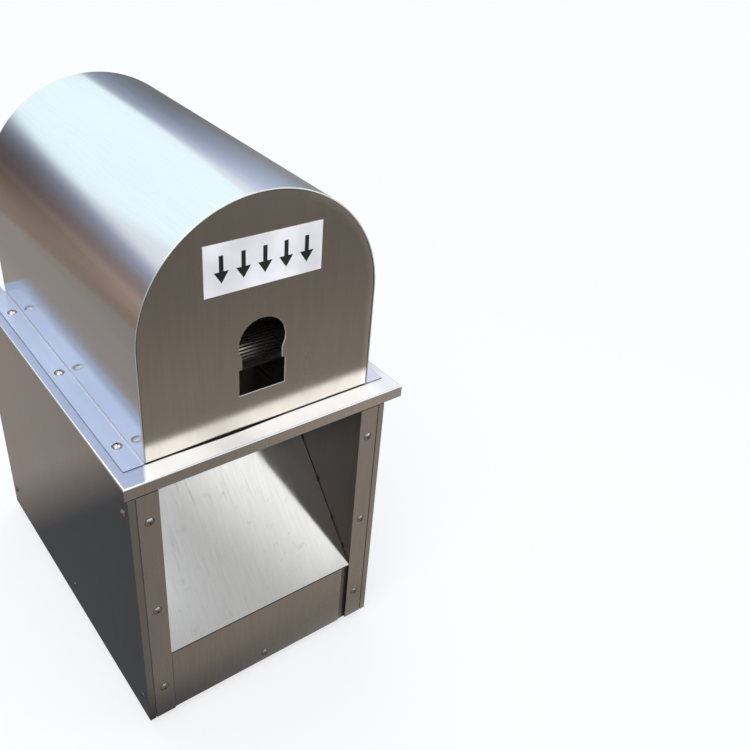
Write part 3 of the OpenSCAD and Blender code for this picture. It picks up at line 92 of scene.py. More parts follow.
class Shader:
    """A small helper that builds one node material."""

    def __init__(self, name):
        self.material = bpy.data.materials.new(name)
        self.material.use_nodes = True
        self.tree = self.material.node_tree
        self.tree.nodes.clear()
        self.out = self.node("ShaderNodeOutputMaterial")
        self.bsdf = self.node("ShaderNodeBsdfPrincipled")
        self.link(self.bsdf.outputs["BSDF"], self.out.inputs["Surface"])
        self.spot = self.node("ShaderNodeTexCoord").outputs["Object"]

    def node(self, kind, **values):
        """Adds a node and sets its options."""
        made = self.tree.nodes.new(kind)
        for key, value in values.items():
            setattr(made, key, value)
        return made

    def link(self, a, b):
        self.tree.links.new(a, b)

    def feed(self, socket, value):
        """Gives an input a number, a colour or another node's output."""
        if isinstance(value, (int, float)):
            socket.default_value = value
        elif isinstance(value, tuple):
            socket.default_value = (*value, 1.0)
        else:
            self.link(value, socket)

    def noise(self, scale, detail, rough, move=(0, 0, 0), turn=(0, 0, 0)):
        """Noise on the object's coordinates, with one scale or one for each axis."""
        mapping = self.node("ShaderNodeMapping")
        mapping.inputs["Scale"].default_value = scale if isinstance(scale, tuple) else (scale,) * 3
        mapping.inputs["Location"].default_value = move
        mapping.inputs["Rotation"].default_value = turn
        self.link(self.spot, mapping.inputs["Vector"])
        made = self.node("ShaderNodeTexNoise")
        made.inputs["Scale"].default_value = 1.0
        made.inputs["Detail"].default_value = detail
        made.inputs["Roughness"].default_value = rough
        self.link(mapping.outputs["Vector"], made.inputs["Vector"])
        return made.outputs["Fac"]

    def ramp(self, value, stops, smooth=True):
        """A colour ramp through [(place, colour), ...]."""
        made = self.node("ShaderNodeValToRGB")
        made.color_ramp.interpolation = "EASE" if smooth else "LINEAR"
        elements = made.color_ramp.elements
        while len(elements) < len(stops):
            elements.new(0.5)
        for element, (place, colour) in zip(elements, stops):
            element.position = place
            element.color = (*colour, 1.0)
        self.link(value, made.inputs["Fac"])
        return made.outputs["Color"]

    def spread(self, value, lo, hi, to_lo=0.0, to_hi=1.0):
        """Maps a value from one range to another, clamped."""
        made = self.node("ShaderNodeMapRange")
        for key, number in (("From Min", lo), ("From Max", hi), ("To Min", to_lo), ("To Max", to_hi)):
            made.inputs[key].default_value = number
        self.link(value, made.inputs["Value"])
        return made.outputs["Result"]

    def mix(self, factor, a, b, blend="MIX"):
        """Mixes two colours, each a socket or a tuple."""
        made = self.node("ShaderNodeMix", data_type="RGBA", blend_type=blend)
        self.feed(made.inputs["Factor"], factor)
        for key, value in (("A", a), ("B", b)):
            self.feed(next(s for s in made.inputs if s.name == key and s.type == "RGBA"), value)
        return next(s for s in made.outputs if s.type == "RGBA")

    def math(self, operation, a, b=0.0):
        """A sum on two values, each a socket or a number."""
        made = self.node("ShaderNodeMath", operation=operation)
        for socket, value in zip(made.inputs, (a, b)):
            self.feed(socket, value)
        return made.outputs["Value"]

    def scaled(self, colour, factor):
        """A colour times a number."""
        made = self.node("ShaderNodeVectorMath", operation="SCALE")
        self.link(colour, made.inputs[0])
        self.link(factor, made.inputs["Scale"])
        return made.outputs["Vector"]

    def blend(self, factor, a, b):
        """Goes from value a to value b."""
        return self.math("ADD", self.math("MULTIPLY", self.math("SUBTRACT", 1.0, factor), a),
                         self.math("MULTIPLY", factor, b))

    def away(self, value, middle):
        """How far a value lies from a middle, either way."""
        return self.math("ABSOLUTE", self.math("SUBTRACT", value, middle))

    def past(self, value, start):
        """How far a value lies past a start, or 0."""
        return self.math("MAXIMUM", self.math("SUBTRACT", value, start), 0.0)

    def reach(self, a, b):
        """The length of the diagonal of a and b."""
        return self.math("SQRT", self.math("ADD", self.math("MULTIPLY", a, a), self.math("MULTIPLY", b, b)))

    def axes(self):
        """The coordinates of the object, in metres."""
        made = self.node("ShaderNodeSeparateXYZ")
        self.link(self.spot, made.inputs["Vector"])
        return [made.outputs[name] for name in "XYZ"]

    def bump(self, height, strength, distance):
        """Gives the surface a relief, its distance in metres."""
        made = self.node("ShaderNodeBump")
        made.inputs["Strength"].default_value = strength
        made.inputs["Distance"].default_value = distance
        self.link(height, made.inputs["Height"])
        self.link(made.outputs["Normal"], self.bsdf.inputs["Normal"])

    def set(self, **values):
        """Sets the surface's inputs, each to a socket, a number or a colour."""
        for key, value in values.items():
            self.feed(self.bsdf.inputs[key.replace("_", " ")], value)


def times(colour, factor):
    """A colour made darker or lighter, up to white."""
    return tuple(min(1.0, c * factor) for c in colour)


def brushed(name, colour, rough=0.22, grain=(1200, 40, 1200), streak=0.03, smudge=0.08, dirt=0.0, metal=1.0,
            tint=None):
    """Rolled or brushed sheet steel: fine grain, long faint strokes, soft smudges and a few dirty spots."""
    s = Shader(name)
    fine = s.noise(grain, 3.0, 0.6)
    strokes = s.noise(tuple(g * 0.12 for g in grain), 2.0, 0.5)
    cloud = s.noise(7, 4.0, 0.55)
    base = s.ramp(fine, [(0.3, times(colour, 1 - streak)), (0.7, times(colour, 1 + streak))])
    base = s.mix(s.spread(strokes, 0.4, 0.75, 0.0, streak * 3), base, times(colour, 0.75))
    base = s.mix(s.spread(cloud, 0.4, 0.75, 0.0, smudge * 2), base, times(colour, 0.7))
    if tint is not None:
        base = tint(s, base)
    if dirt:
        spots = s.spread(s.noise(60, 4.0, 0.65), 0.58, 0.74)
        marks = s.math("MULTIPLY", spots, s.spread(cloud, 0.42, 0.62, 0.0, dirt))
        base = s.mix(marks, base, times(colour, 0.35))
    wear = s.math("ADD", s.spread(strokes, 0.25, 0.8, rough - 0.03, rough + 0.04),
                  s.spread(cloud, 0.4, 0.8, 0.0, smudge))
    s.set(Base_Color=base, Roughness=wear, Metallic=metal)
    s.bump(fine, 0.10, 0.12 * MM)
    return s.material


def plain_metal(name, colour, rough, scale):
    """Turned or cast metal with a fine, even texture."""
    s = Shader(name)
    fine = s.noise(scale, 4.0, 0.6)
    broad = s.noise(22, 3.0, 0.5)
    base = s.ramp(fine, [(0.3, times(colour, 0.88)), (0.7, times(colour, 1.08))])
    base = s.mix(s.spread(broad, 0.45, 0.8, 0.0, 0.35), base, times(colour, 0.55))
    s.set(Base_Color=base, Roughness=s.spread(broad, 0.3, 0.8, rough - 0.06, rough + 0.12), Metallic=1.0)
    s.bump(fine, 0.15, 0.2 * MM)
    return s.material


def dull(name, colour, rough, scale, depth=0.2 * MM, coat=0.0):
    """Plastic, rubber or paint with a fine moulded texture."""
    s = Shader(name)
    broad = s.noise(15, 3.0, 0.5)
    base = s.ramp(broad, [(0.3, times(colour, 0.82)), (0.75, times(colour, 1.12))])
    s.set(Base_Color=base, Roughness=s.spread(broad, 0.3, 0.7, rough - 0.05, rough + 0.08), Coat_Weight=coat)
    s.bump(s.noise(scale, 5.0, 0.6), 0.25, depth)
    return s.material


def linked(name, mesh, body, slot, *nodes):
    """Puts a mesh in the scene as a piece that may stand for CAD nodes and ride on a body."""
    piece = bpy.data.objects.new(name, mesh)
    bpy.context.scene.collection.objects.link(piece)
    if body:
        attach(piece, body)
    if nodes:
        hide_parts(*nodes)
    return piece


def weighted(piece, sharp=50.0):
    """Smooth shading that keeps flat faces flat."""
    for face in piece.data.polygons:
        face.use_smooth = True
    piece.data.set_sharp_from_angle(angle=math.radians(sharp))
    mod = piece.modifiers.new("even shading", "WEIGHTED_NORMAL")
    mod.keep_sharp = True


def soft_edge(piece, width, segments, angle):
    """Rounds the edges that turn by more than an angle."""
    bevel = piece.modifiers.new("soft edge", "BEVEL")
    bevel.width = width
    bevel.segments = segments
    bevel.limit_method = "ANGLE"
    bevel.angle_limit = math.radians(angle)
    return bevel


def softened(node, width, material, segments=2, perforated=False):
    """A sheet's CAD node shown again with rounded edges. A perforated one keeps its flat faces' edges."""
    mesh = NODE[node].data.copy()
    bm = bmesh.new()
    bm.from_mesh(mesh)
    bmesh.ops.remove_doubles(bm, verts=bm.verts, dist=0.001 * MM)
    if not perforated:
        bmesh.ops.dissolve_limit(bm, angle_limit=math.radians(0.3), verts=bm.verts, edges=bm.edges)
    bm.to_mesh(mesh)
    bm.free()
    piece = linked(node + "_soft", mesh, ROOT, SLOT_OF[node], node)
    clear_slots(piece, material)
    soft_edge(piece, width, segments, angle=35).miter_outer = "MITER_ARC"
    weighted(piece)
    return piece


def face_materials(piece, materials, choose):
    """Gives each face the material that choose(normal, centre) names by its place in the list."""
    for material in materials:
        if material.name not in piece.data.materials:
            piece.data.materials.append(material)
    for face in piece.data.polygons:
        face.material_index = choose(face.normal, face.center)


def mesh_piece(name, bm, material, body, slot, *nodes):
    """Turns a finished bmesh into a piece."""
    bmesh.ops.recalc_face_normals(bm, faces=bm.faces)
    mesh = bpy.data.meshes.new(name)
    bm.to_mesh(mesh)
    bm.free()
    piece = linked(name, mesh, body, slot, *nodes)
    clear_slots(piece, material)
    return piece


def bent_sheet(name, outer, inner, y0, y1, material, slot, *nodes):
    """A sheet extruded along Y, from the (x, z) points of its two faces, each opposite its partner."""
    bm = bmesh.new()
    front_out, front_in, rear_out, rear_in = [[bm.verts.new((x, y, z)) for x, z in face]
                                              for y in (y0, y1) for face in (outer, inner)]
    last = len(outer) - 1
    for i in range(last):
        j = i + 1
        bm.faces.new((front_out[i], front_in[i], front_in[j], front_out[j]))
        bm.faces.new((rear_out[i], rear_out[j], rear_in[j], rear_in[i]))
        bm.faces.new((front_out[i], front_out[j], rear_out[j], rear_out[i]))
        bm.faces.new((front_in[i], rear_in[i], rear_in[j], front_in[j]))
    for i in (0, last):
        bm.faces.new((front_out[i], rear_out[i], rear_in[i], front_in[i]))
    piece = mesh_piece(name, bm, material, ROOT, slot, *nodes)
    soft_edge(piece, 0.3 * MM, segments=2, angle=40)
    weighted(piece)
    return piece


def rounded_rim(piece, width, segments, pick):
    """Rounds the edges that pick(end, end) chooses, as a press brake bends a sheet."""
    bm = bmesh.new()
    bm.from_mesh(piece.data)
    edges = [edge for edge in bm.edges if pick(*(vert.co for vert in edge.verts))]
    bmesh.ops.bevel(bm, geom=edges, offset=width, offset_type="OFFSET", segments=segments, profile=0.5,
                    affect="EDGES", clamp_overlap=False)
    bm.to_mesh(piece.data)
    bm.free()


def discs(name, spots, radius, height, material, slot):
    """Thin discs with a slight taper, each at (place, normal)."""
    bm = bmesh.new()
    for place, normal in spots:
        turn = Vector(UP).rotation_difference(Vector(normal)).to_matrix().to_4x4()
        bmesh.ops.create_cone(bm, cap_ends=True, segments=28, radius1=radius, radius2=radius * 0.94,
                              depth=height, matrix=Matrix.Translation(Vector(place)) @ turn)
    weighted(mesh_piece(name, bm, material, ROOT, slot), sharp=40)


def blocks(name, corners, material, slot):
    """Thin blocks, each between two corners, such as the dark joints between sheets."""
    bm = bmesh.new()
    for lo, hi in corners:
        middle = [(a + b) / 2 for a, b in zip(lo, hi)]
        size = [b - a for a, b in zip(lo, hi)]
        bmesh.ops.create_cube(bm, size=1.0, matrix=Matrix.Translation(middle) @ Matrix.Diagonal((*size, 1.0)))
    mesh_piece(name, bm, material, ROOT, slot)


# Places on the machine, in metres, where the painted reflections and painted shade on the sheets change.
HOOD_END_Y = 0.2217
FLANGE_CORNER_SLOPE = 0.402
SHADOW_PATCH_X = -0.05
SLIT_X = -0.045
ARCH_Z = 0.5408


def top_tint(s, base):
    """Painted reflections: pale blue along the left, cream at the front, near white at the right; a painted
    shadow in a band just left of the middle; and painted shade, near black, under the hood, which also has
    juice and grease, and in the slit under its front plate, which is widest left of its middle."""
    x, y, _ = s.axes()
    # Painted reflections: pale blue along the left, cream at the front.
    ahead = s.math("MINIMUM", s.math("ADD", y, HOOD_END_Y), 0.0)
    corner = s.math("SUBTRACT", x, s.math("MULTIPLY", ahead, FLANGE_CORNER_SLOPE))
    front = s.mix(s.spread(x, 0.145, 0.165), (1.0, 0.985, 0.965), (0.80, 0.80, 0.83))
    # A painted shadow in a band just left of the middle.
    shadow_patch = s.spread(s.away(x, SHADOW_PATCH_X), 0.012, 0.045, 0.82, 1.0)
    tone = s.mix(s.spread(corner, -0.1522, -0.1488, 1.0, 0.0), s.scaled(front, shadow_patch), (0.36, 0.415, 0.58))
    base = s.mix(1.0, base, tone, "MULTIPLY")
    # Painted shade, near black, under the hood and in the slit under its front plate.
    slit = s.spread(s.away(x, SLIT_X), 0.012, 0.075, 0.0028, 0.0008)
    along = s.math("SUBTRACT", s.math("ABSOLUTE", y), slit)
    inside = s.math("MULTIPLY", s.spread(s.math("ABSOLUTE", x), 0.1475, 0.1490, 1.0, 0.0),
                    s.spread(along, 0.2210, 0.2216, 1.0, 0.0))
    return s.mix(inside, base, (0.006, 0.005, 0.0045))


def flange_tint(s, base):
    """A painted reflection: pale blue on the left and near white on the right."""
    tone = s.mix(s.spread(s.axes()[0], -0.01, 0.01), (1.0, 1.0, 1.0), (1.6, 1.5, 1.15))
    return s.mix(1.0, base, tone, "MULTIPLY")


def hood_tint(s, base):
    """Darker low on the sides: a painted reflection."""
    z = s.axes()[2]
    low = s.spread(z, 0.455, 0.49, 0.93, 0.80)
    return s.scaled(base, s.math("MAXIMUM", low, s.spread(z, 0.565, 0.60)))


def front_tint(s, base):
    """A painted reflection brighter close to the table top, a painted highlight along the right of the arch,
    and a painted shadow line at the hood's edge on the left.
    """
    x, _, z = s.axes()
    reach = s.reach(x, s.past(z, ARCH_Z))
    # A painted shadow line on the left and a painted highlight on the right, along the hood's edge.
    left_shadow_line = s.spread(reach, 0.1470, 0.1475, 1.0, 0.4)
    right_gleam = s.spread(reach, 0.139, 0.1475, 1.0, 1.35)
    rim_shading = s.blend(s.spread(x, 0.04, 0.07), left_shadow_line, right_gleam)
    # A painted reflection, brighter close to the table top.
    low = s.spread(z, 0.4255, 0.434, 1.55, 1.0)
    return s.scaled(base, s.math("MULTIPLY", low, rim_shading))


def graded(axis, lo, hi, at_lo, at_hi):
    """A tint that grows evenly between two places along an axis, 0 for X and 2 for Z."""
    return lambda s, base: s.scaled(base, s.spread(s.axes()[axis], lo, hi, at_lo, at_hi))


def chute_tint(s, base):
    """Dark strokes that the falling peel has left, most of them at the upper left."""
    x, _, z = s.axes()
    strokes = s.noise((130, 16, 16), 4.0, 0.6, turn=(0, 0, 0.22))
    patch = s.noise(9, 3.0, 0.5, move=(0.4, 0.1, 0.7))
    corner = s.math("MULTIPLY", s.spread(x, -0.09, 0.0, 1.0, 0.2), s.spread(z, 0.15, 0.25, 0.3, 1.0))
    where = s.math("MULTIPLY", s.spread(patch, 0.38, 0.56), corner)
    mark = s.math("MULTIPLY", s.spread(strokes, 0.54, 0.68), where)
    return s.mix(s.math("MULTIPLY", mark, 0.6), base, (0.22, 0.215, 0.21))


# Materials.
POST_GRAIN = (700, 700, 16)
STEEL_HOOD = brushed("hood_steel", (0.72, 0.755, 0.79), rough=0.15, grain=(400, 14, 400), streak=0.015,
                     smudge=0.03, tint=hood_tint)
# The flanges' pale blue is a painted reflection.
STEEL_FLANGE = brushed("flange_steel", (0.60, 0.62, 0.827), rough=0.2, grain=(400, 14, 400), streak=0.02,
                       tint=flange_tint)
# A brighter copy of the steel for the bend round the table top: a painted highlight.
STEEL_BEND = brushed("bent_rim", (0.88, 0.88, 0.90), rough=0.14, grain=(300, 300, 300), streak=0.02)
STEEL_SEAM = brushed("sheet_seam", (0.035, 0.04, 0.055), rough=0.55, grain=(700, 700, 700), metal=0.2)
# Near white edges and bends: painted highlights. The hood's cut edges fade darker low on the arch.
STEEL_EDGE = brushed("edge_highlight", (0.93, 0.93, 0.92), rough=0.35, grain=(900, 900, 900), metal=0.4)
STEEL_RIM = brushed("hood_rim", (0.93, 0.92, 0.92), rough=0.35, grain=(900, 900, 900), metal=0.4,
                    tint=graded(2, 0.60, 0.675, 0.45, 1.0))
# Inner faces darker than the outside: painted shade, with dirt spots.
STEEL_INSIDE = brushed("inner_steel", (0.22, 0.21, 0.20), rough=0.42, grain=(500, 30, 500), dirt=0.5)
STEEL_TOP = brushed("table_top_steel", (0.95, 0.95, 0.95), rough=0.30, grain=(30, 700, 700), streak=0.02,
                    metal=0.15, tint=top_tint)
STEEL_FRONT = brushed("front_plate_steel", (0.60, 0.565, 0.52), rough=0.22, grain=(500, 500, 14),
                      streak=0.025, tint=front_tint)
# The posts and the lips grow lighter towards the right: painted light.
STEEL_POST = brushed("post_steel", (0.60, 0.57, 0.54), rough=0.24, grain=POST_GRAIN, streak=0.05,
                     tint=graded(0, -0.17, 0.14, 0.96, 1.2))
STEEL_LIP = brushed("lip_steel", (0.60, 0.57, 0.54), rough=0.24, grain=POST_GRAIN, streak=0.05,
                    tint=graded(0, -0.08, 0.14, 1.05, 1.65))
# Darker than the posts: painted shade in the recess beside the chute, with dirt spots.
STEEL_RECESS = brushed("recess_steel", (0.42, 0.38, 0.345), rough=0.3, grain=POST_GRAIN, streak=0.08,
                       dirt=0.6)
STEEL_SIDE = brushed("side_steel", (0.43, 0.425, 0.42), rough=0.12, grain=(500, 500, 16), streak=0.02)
STEEL_CHUTE = brushed("chute_steel", (0.80, 0.80, 0.795), rough=0.11, grain=(500, 30, 30), streak=0.025,
                      smudge=0.05, dirt=0.3, tint=chute_tint)
# Near black brown: painted shade on the chute's cheeks and the posts' inner faces, lighter towards the
# bottom.
STEEL_CHEEK = brushed("cheek_steel", (0.056, 0.0425, 0.0316), rough=0.34, grain=(600, 600, 30), streak=0.05,
                      tint=graded(2, 0.13, 0.24, 1.5, 1.0))
STEEL_SCREW = plain_metal("screw_steel", (0.50, 0.49, 0.47), 0.24, 900.0)
STEEL_ZINC = plain_metal("zinc_steel", (0.42, 0.43, 0.45), 0.38, 400.0)
STEEL_PLATE = brushed("bearing_plate_steel", (0.46, 0.45, 0.43), rough=0.32, grain=(600, 600, 25))
STEEL_ROLLER = plain_metal("roller_steel", (0.50, 0.46, 0.41), 0.30, 300.0)
STEEL_PIN = plain_metal("pin_steel", (0.60, 0.60, 0.60), 0.22, 500.0)
STEEL_SPRING = plain_metal("spring_steel", (0.48, 0.48, 0.50), 0.28, 700.0)
STEEL_KNIFE = plain_metal("knife_steel", (0.64, 0.64, 0.65), 0.18, 500.0)
GEAR_STEEL = plain_metal("gear_steel", (0.38, 0.36, 0.33), 0.32, 300.0)
BRONZE = plain_metal("bronze", (0.56, 0.36, 0.16), 0.32, 300.0)
IRON = plain_metal("pulley_iron", (0.20, 0.20, 0.21), 0.42, 260.0)
BLACK_STEEL = dull("black_steel", (0.035, 0.035, 0.038), 0.42, 500.0, coat=0.2)
RUBBER = dull("rubber", (0.020, 0.020, 0.021), 0.72, 500.0)
MOTOR_PAINT = dull("motor_enamel", (0.12, 0.15, 0.18), 0.42, 160.0, depth=0.4 * MM, coat=0.3)
BLACK_PLASTIC = dull("black_plastic", (0.024, 0.024, 0.026), 0.48, 900.0)
GREEN_PLASTIC = dull("green_plastic", (0.012, 0.22, 0.06), 0.30, 900.0, coat=0.4)
RED_PLASTIC = dull("red_plastic", (0.45, 0.016, 0.012), 0.30, 900.0, coat=0.4)
SIGN_WHITE = dull("sign_white", (0.80, 0.785, 0.83), 0.42, 400.0, depth=0.05 * MM, coat=0.15)
SIGN_BLACK = dull("sign_black", (0.012, 0.012, 0.013), 0.45, 500.0, depth=0.05 * MM)
# Near black, for painted shade in gaps, recesses and seats.
PAINTED_SHADE = dull("painted_shade", (0.035, 0.030, 0.027), 0.8, 600.0)
WELD = plain_metal("weld_heat_tint", (0.16, 0.12, 0.10), 0.45, 800.0)

MATERIAL_OF_SLOT = {
    "polished_stainless": STEEL_TOP,
    "satin_stainless": STEEL_FRONT,
    "dark_stainless": STEEL_SIDE,
    "chute_stainless": STEEL_CHUTE,
    "sign_white": SIGN_WHITE,
    "zinc_steel": STEEL_ZINC,
    "screw_steel": STEEL_SCREW,
    "plate_steel": STEEL_PLATE,
    "bronze": BRONZE,
    "roller_steel": STEEL_ROLLER,
    "pin_steel": STEEL_PIN,
    "spring_steel": STEEL_SPRING,
    "knife_steel": STEEL_KNIFE,
    "black_steel": BLACK_STEEL,
    "pulley_iron": IRON,
    "belt_rubber": RUBBER,
    "foot_rubber": RUBBER,
    "motor_grey": MOTOR_PAINT,
    "fan_black": BLACK_PLASTIC,
    "gear_steel": GEAR_STEEL,
    "switch_black": BLACK_PLASTIC,
    "button_green": GREEN_PLASTIC,
    "button_red": RED_PLASTIC,
}
for node_name, node_object in NODE.items():
    clear_slots(node_object, MATERIAL_OF_SLOT[SLOT_OF[node_name]])


# The hood: an arched sheet with a flange on each side.
HOOD_HALF = 150 * MM
HOOD_BEND = 1.6 * MM
ARCH_MIDDLE_Z = HOOD_HI.z - HOOD_HALF
FLANGE_TOP_Z = HOOD_LO.z + SHEET
ARCH_STEPS = 48
BEND_STEPS = 5


def hood_faces():
    """The hood's section as (x, z) points: its outside and its inside, with a bend at each flange."""
    def quarter(steps):
        return [math.pi / 2 * i / steps for i in range(steps + 1)]

    def half(radius, bend, floor):
        """One face's right half, from the flange's rim up to the crown."""
        bend_x, bend_z = HOOD_HALF + HOOD_BEND, FLANGE_TOP_Z + HOOD_BEND
        corner = [(bend_x - bend * math.sin(a), bend_z - bend * math.cos(a)) for a in quarter(BEND_STEPS)]
        arch = [(radius * math.cos(a), ARCH_MIDDLE_Z + radius * math.sin(a)) for a in quarter(ARCH_STEPS)]
        return [(HOOD_HI.x, floor)] + corner + arch

    def whole(right):
        return right + [(-x, z) for x, z in reversed(right[:-1])]

    return (whole(half(HOOD_HALF, HOOD_BEND, FLANGE_TOP_Z)),
            whole(half(HOOD_HALF - SHEET, HOOD_BEND + SHEET, HOOD_LO.z)))


def hood_face(normal, centre):
    """0 outside, 1 the flanges, 2 the cut edges at the ends, near white as a painted highlight,
    3 inside, darker as painted shade, 4 the flanges' dark rims, 5 the upper part of each bend, near white as
    a painted highlight."""
    flange = centre.z < FLANGE_TOP_Z + HOOD_BEND
    if abs(normal.y) > 0.7:
        return 4 if flange else 2
    if flange:
        if abs(centre.x) > HOOD_HI.x - 0.1 * MM:
            return 4
        if centre.z > FLANGE_TOP_Z and 0 < normal.z < 0.6:
            return 5
        return 1 if normal.z > -FACING else 3
    middle = Vector((0, centre.y, min(centre.z, ARCH_MIDDLE_Z)))
    return 0 if normal.dot(centre - middle) > 0 else 3


hood_skin = bent_sheet("hood_skin", *hood_faces(), HOOD_LO.y, HOOD_HI.y, STEEL_HOOD, "polished_stainless",
                       "hood_shell")
face_materials(hood_skin, (STEEL_HOOD, STEEL_FLANGE, STEEL_RIM, STEEL_INSIDE, STEEL_SEAM, STEEL_EDGE),
               hood_face)


# Sheet parts whose edges catch the light.
def top_rim(a, b):
    """The edges along the outside of the table top."""
    on_top = min(a.z, b.z) > TOP_HI.z - NEAR
    on_side = min(abs(a.x), abs(b.x)) > TOP_HI.x - NEAR
    on_end = min(abs(a.y), abs(b.y)) > TOP_HI.y - NEAR
    return on_top and (on_side or on_end)


def top_face(normal, centre):
    """0 top, 1 the front lip, 2 the other lips, 3 underside, 4 the bend round the top."""
    if normal.z < -FACING:
        return 3
    if 0.15 < normal.z < 0.985:
        return 4
    if normal.z > FACING:
        return 0
    return 1 if normal.y < -FACING and centre.y < TOP_LO.y + 0.5 * MM else 2


def end_face(outward):
    """Chooses for an end plate of the hood: 0 outside, 1 inside, 2 the cut edges."""
    def choose(normal, centre):
        out = normal.y * outward
        return 0 if out > FACING else 1 if out < -FACING else 2

    return choose


def forward(share=FACING):
    """Chooses 1 for the faces that look to the front, and 0 for the others."""
    return lambda normal, centre: 1 if normal.y < -share else 0


TOP_BEND = 2.2 * MM
top_plate = softened("top_plate", 0.4 * MM, STEEL_TOP)
rounded_rim(top_plate, TOP_BEND, 7, top_rim)
# Each face of the table top takes a lighter or darker steel by the way it faces: painted light and shade.
face_materials(top_plate, (STEEL_TOP, STEEL_LIP, STEEL_SIDE, STEEL_INSIDE, STEEL_BEND), top_face)

# The end plates: outside, inside darker as painted shade, and cut edges near white as a painted highlight.
END_PLATE_LOOKS = (STEEL_FRONT, STEEL_INSIDE, STEEL_EDGE)
front_plate = softened("hood_front_plate", 0.45 * MM, STEEL_FRONT)
face_materials(front_plate, END_PLATE_LOOKS, end_face(-1))
# The front plate's rounded edges are near white: a painted highlight.
front_plate.modifiers["soft edge"].material = 2
face_materials(softened("hood_rear_plate", 0.45 * MM, STEEL_FRONT), END_PLATE_LOOKS, end_face(1))
softened("left_side_panel", 0.9 * MM, STEEL_SIDE, segments=3)
right_panel = softened("right_side_panel", 0.9 * MM, STEEL_SIDE, segments=3)
# Its faces that look to the front take the posts' lighter steel: painted light.
face_materials(right_panel, (STEEL_SIDE, STEEL_POST), forward())
softened("rear_panel", 0.0, STEEL_SIDE, perforated=True)
# The posts' inner faces and rounded edges take the cheeks' near black steel: painted shade.
for post_name, inward in (("front_post_left", 1), ("front_post_right", -1)):
    post = softened(post_name, 0.7 * MM, STEEL_POST, segments=3)
    face_materials(post, (STEEL_POST, STEEL_CHEEK),
                   lambda normal, centre: 1 if normal.x * inward > FACING else 0)
    post.modifiers["soft edge"].material = 1
softened("front_lower_panel", 0.6 * MM, STEEL_POST)
# The chute's front edge is near black: painted shade.
face_materials(softened("chute_sheet", 0.25 * MM, STEEL_CHUTE), (STEEL_CHUTE, PAINTED_SHADE), forward(0.9))
softened("chute_cheek_left", 0.3 * MM, STEEL_CHEEK)
right_cheek = softened("chute_cheek_right", 0.3 * MM, STEEL_CHEEK)
face_materials(right_cheek, (STEEL_CHEEK, STEEL_RECESS), forward())
softened("inlet_sign", 0.25 * MM, SIGN_WHITE)

# Painted shade in the gaps between the sheets and under the chute's lip: how wide the dark lines are, and how
# far they stand proud.
LINE = 1.1 * MM
PROUD = 0.12 * MM
blocks("gap_shade_lines", [
    ((LOWER_LO.x, LOWER_LO.y - PROUD, LOWER_LO.z), (LOWER_LO.x + LINE, LOWER_LO.y + PROUD, LOWER_HI.z)),
    ((LOWER_LO.x, LOWER_LO.y - PROUD, LOWER_HI.z - LINE), (LOWER_HI.x, LOWER_LO.y + PROUD, LOWER_HI.z)),
    ((CHUTE_HI.x - LINE, CHEEK_LO.y - PROUD, CHEEK_LO.z), (CHUTE_HI.x, CHEEK_LO.y + PROUD, LOWER_HI.z)),
], PAINTED_SHADE, "dark_stainless")

# The weld along the chute's right edge: the seam's width and how far it stops short of the chute's foot and
# head, and the tacks' number, place across the seam, half sizes and change in length.
SEAM_W = 0.8 * LINE
SEAM_FOOT = 3.9 * MM
SEAM_HEAD = 1.0 * MM
TACKS = 7
TACK_IN = 0.8 * MM
TACK_W = 1.9 * MM
TACK_L = 4.2 * MM
TACK_H = 0.5 * MM
TACK_CHANGE = 1.2 * MM


def chute_weld():
    """A thin dark seam with tack welds of uneven length and spacing."""
    foot = Vector((CHUTE_HI.x, CHUTE_LO.y + SHEET, CHUTE_LO.z + SEAM_FOOT))
    head = Vector((CHUTE_HI.x, CHUTE_HI.y - SHEET, CHUTE_HI.z - SEAM_HEAD))
    length = (head - foot).length
    along = (head - foot).normalized()
    side = Vector(TO_LEFT)
    turn = Matrix((side, along, (0, -along.z, along.y))).transposed().to_4x4()
    middle = Matrix.Translation((foot + head) / 2 + side * SEAM_W / 2)
    bm = bmesh.new()
    bmesh.ops.create_cube(bm, size=1.0,
                          matrix=middle @ turn @ Matrix.Diagonal((SEAM_W, length, 2 * PROUD, 1.0)))
    for i in range(TACKS):
        share = (i + 0.5 + 0.18 * math.sin(5 * i)) / TACKS
        spot = Matrix.Translation(foot + along * length * share + side * TACK_IN)
        size = Matrix.Diagonal((TACK_W, TACK_L + TACK_CHANGE * math.sin(3 * i), TACK_H, 1.0))
        bmesh.ops.create_uvsphere(bm, u_segments=14, v_segments=8, radius=1.0, matrix=spot @ turn @ size)
    weighted(mesh_piece("chute_weld", bm, WELD, ROOT, "dark_stainless"), sharp=40)


chute_weld()


# Screws: painted shade in each cross recess, and a dark ring of painted shade where each head sits.
def shade_crosses(node, seats):
    """Screws with painted shade in their recesses; each seat is the way out and its distance along it."""
    def choose(normal, centre):
        """1 the faces well above the seat that look straight out or straight sideways, 0 the others."""
        for out, seat in seats:
            facing = normal.dot(Vector(out))
            if centre.dot(Vector(out)) - seat > 0.3 * MM and (facing > 0.99 or abs(facing) < 0.05):
                return 1
        return 0

    piece = linked(node + "_heads", NODE[node].data.copy(), ROOT, SLOT_OF[node], node)
    clear_slots(piece, STEEL_SCREW)
    face_materials(piece, (STEEL_SCREW, PAINTED_SHADE), choose)
    weighted(piece, sharp=30)


shade_crosses("hood_screws", [(UP, FLANGE_TOP_Z)])
shade_crosses("front_screws", [(TO_FRONT, -LOWER_LO.y)])
shade_crosses("panel_screws", [(TO_LEFT, -LEFT_LO.x), (TO_RIGHT, RIGHT_HI.x), (TO_REAR, LEFT_HI.y)])

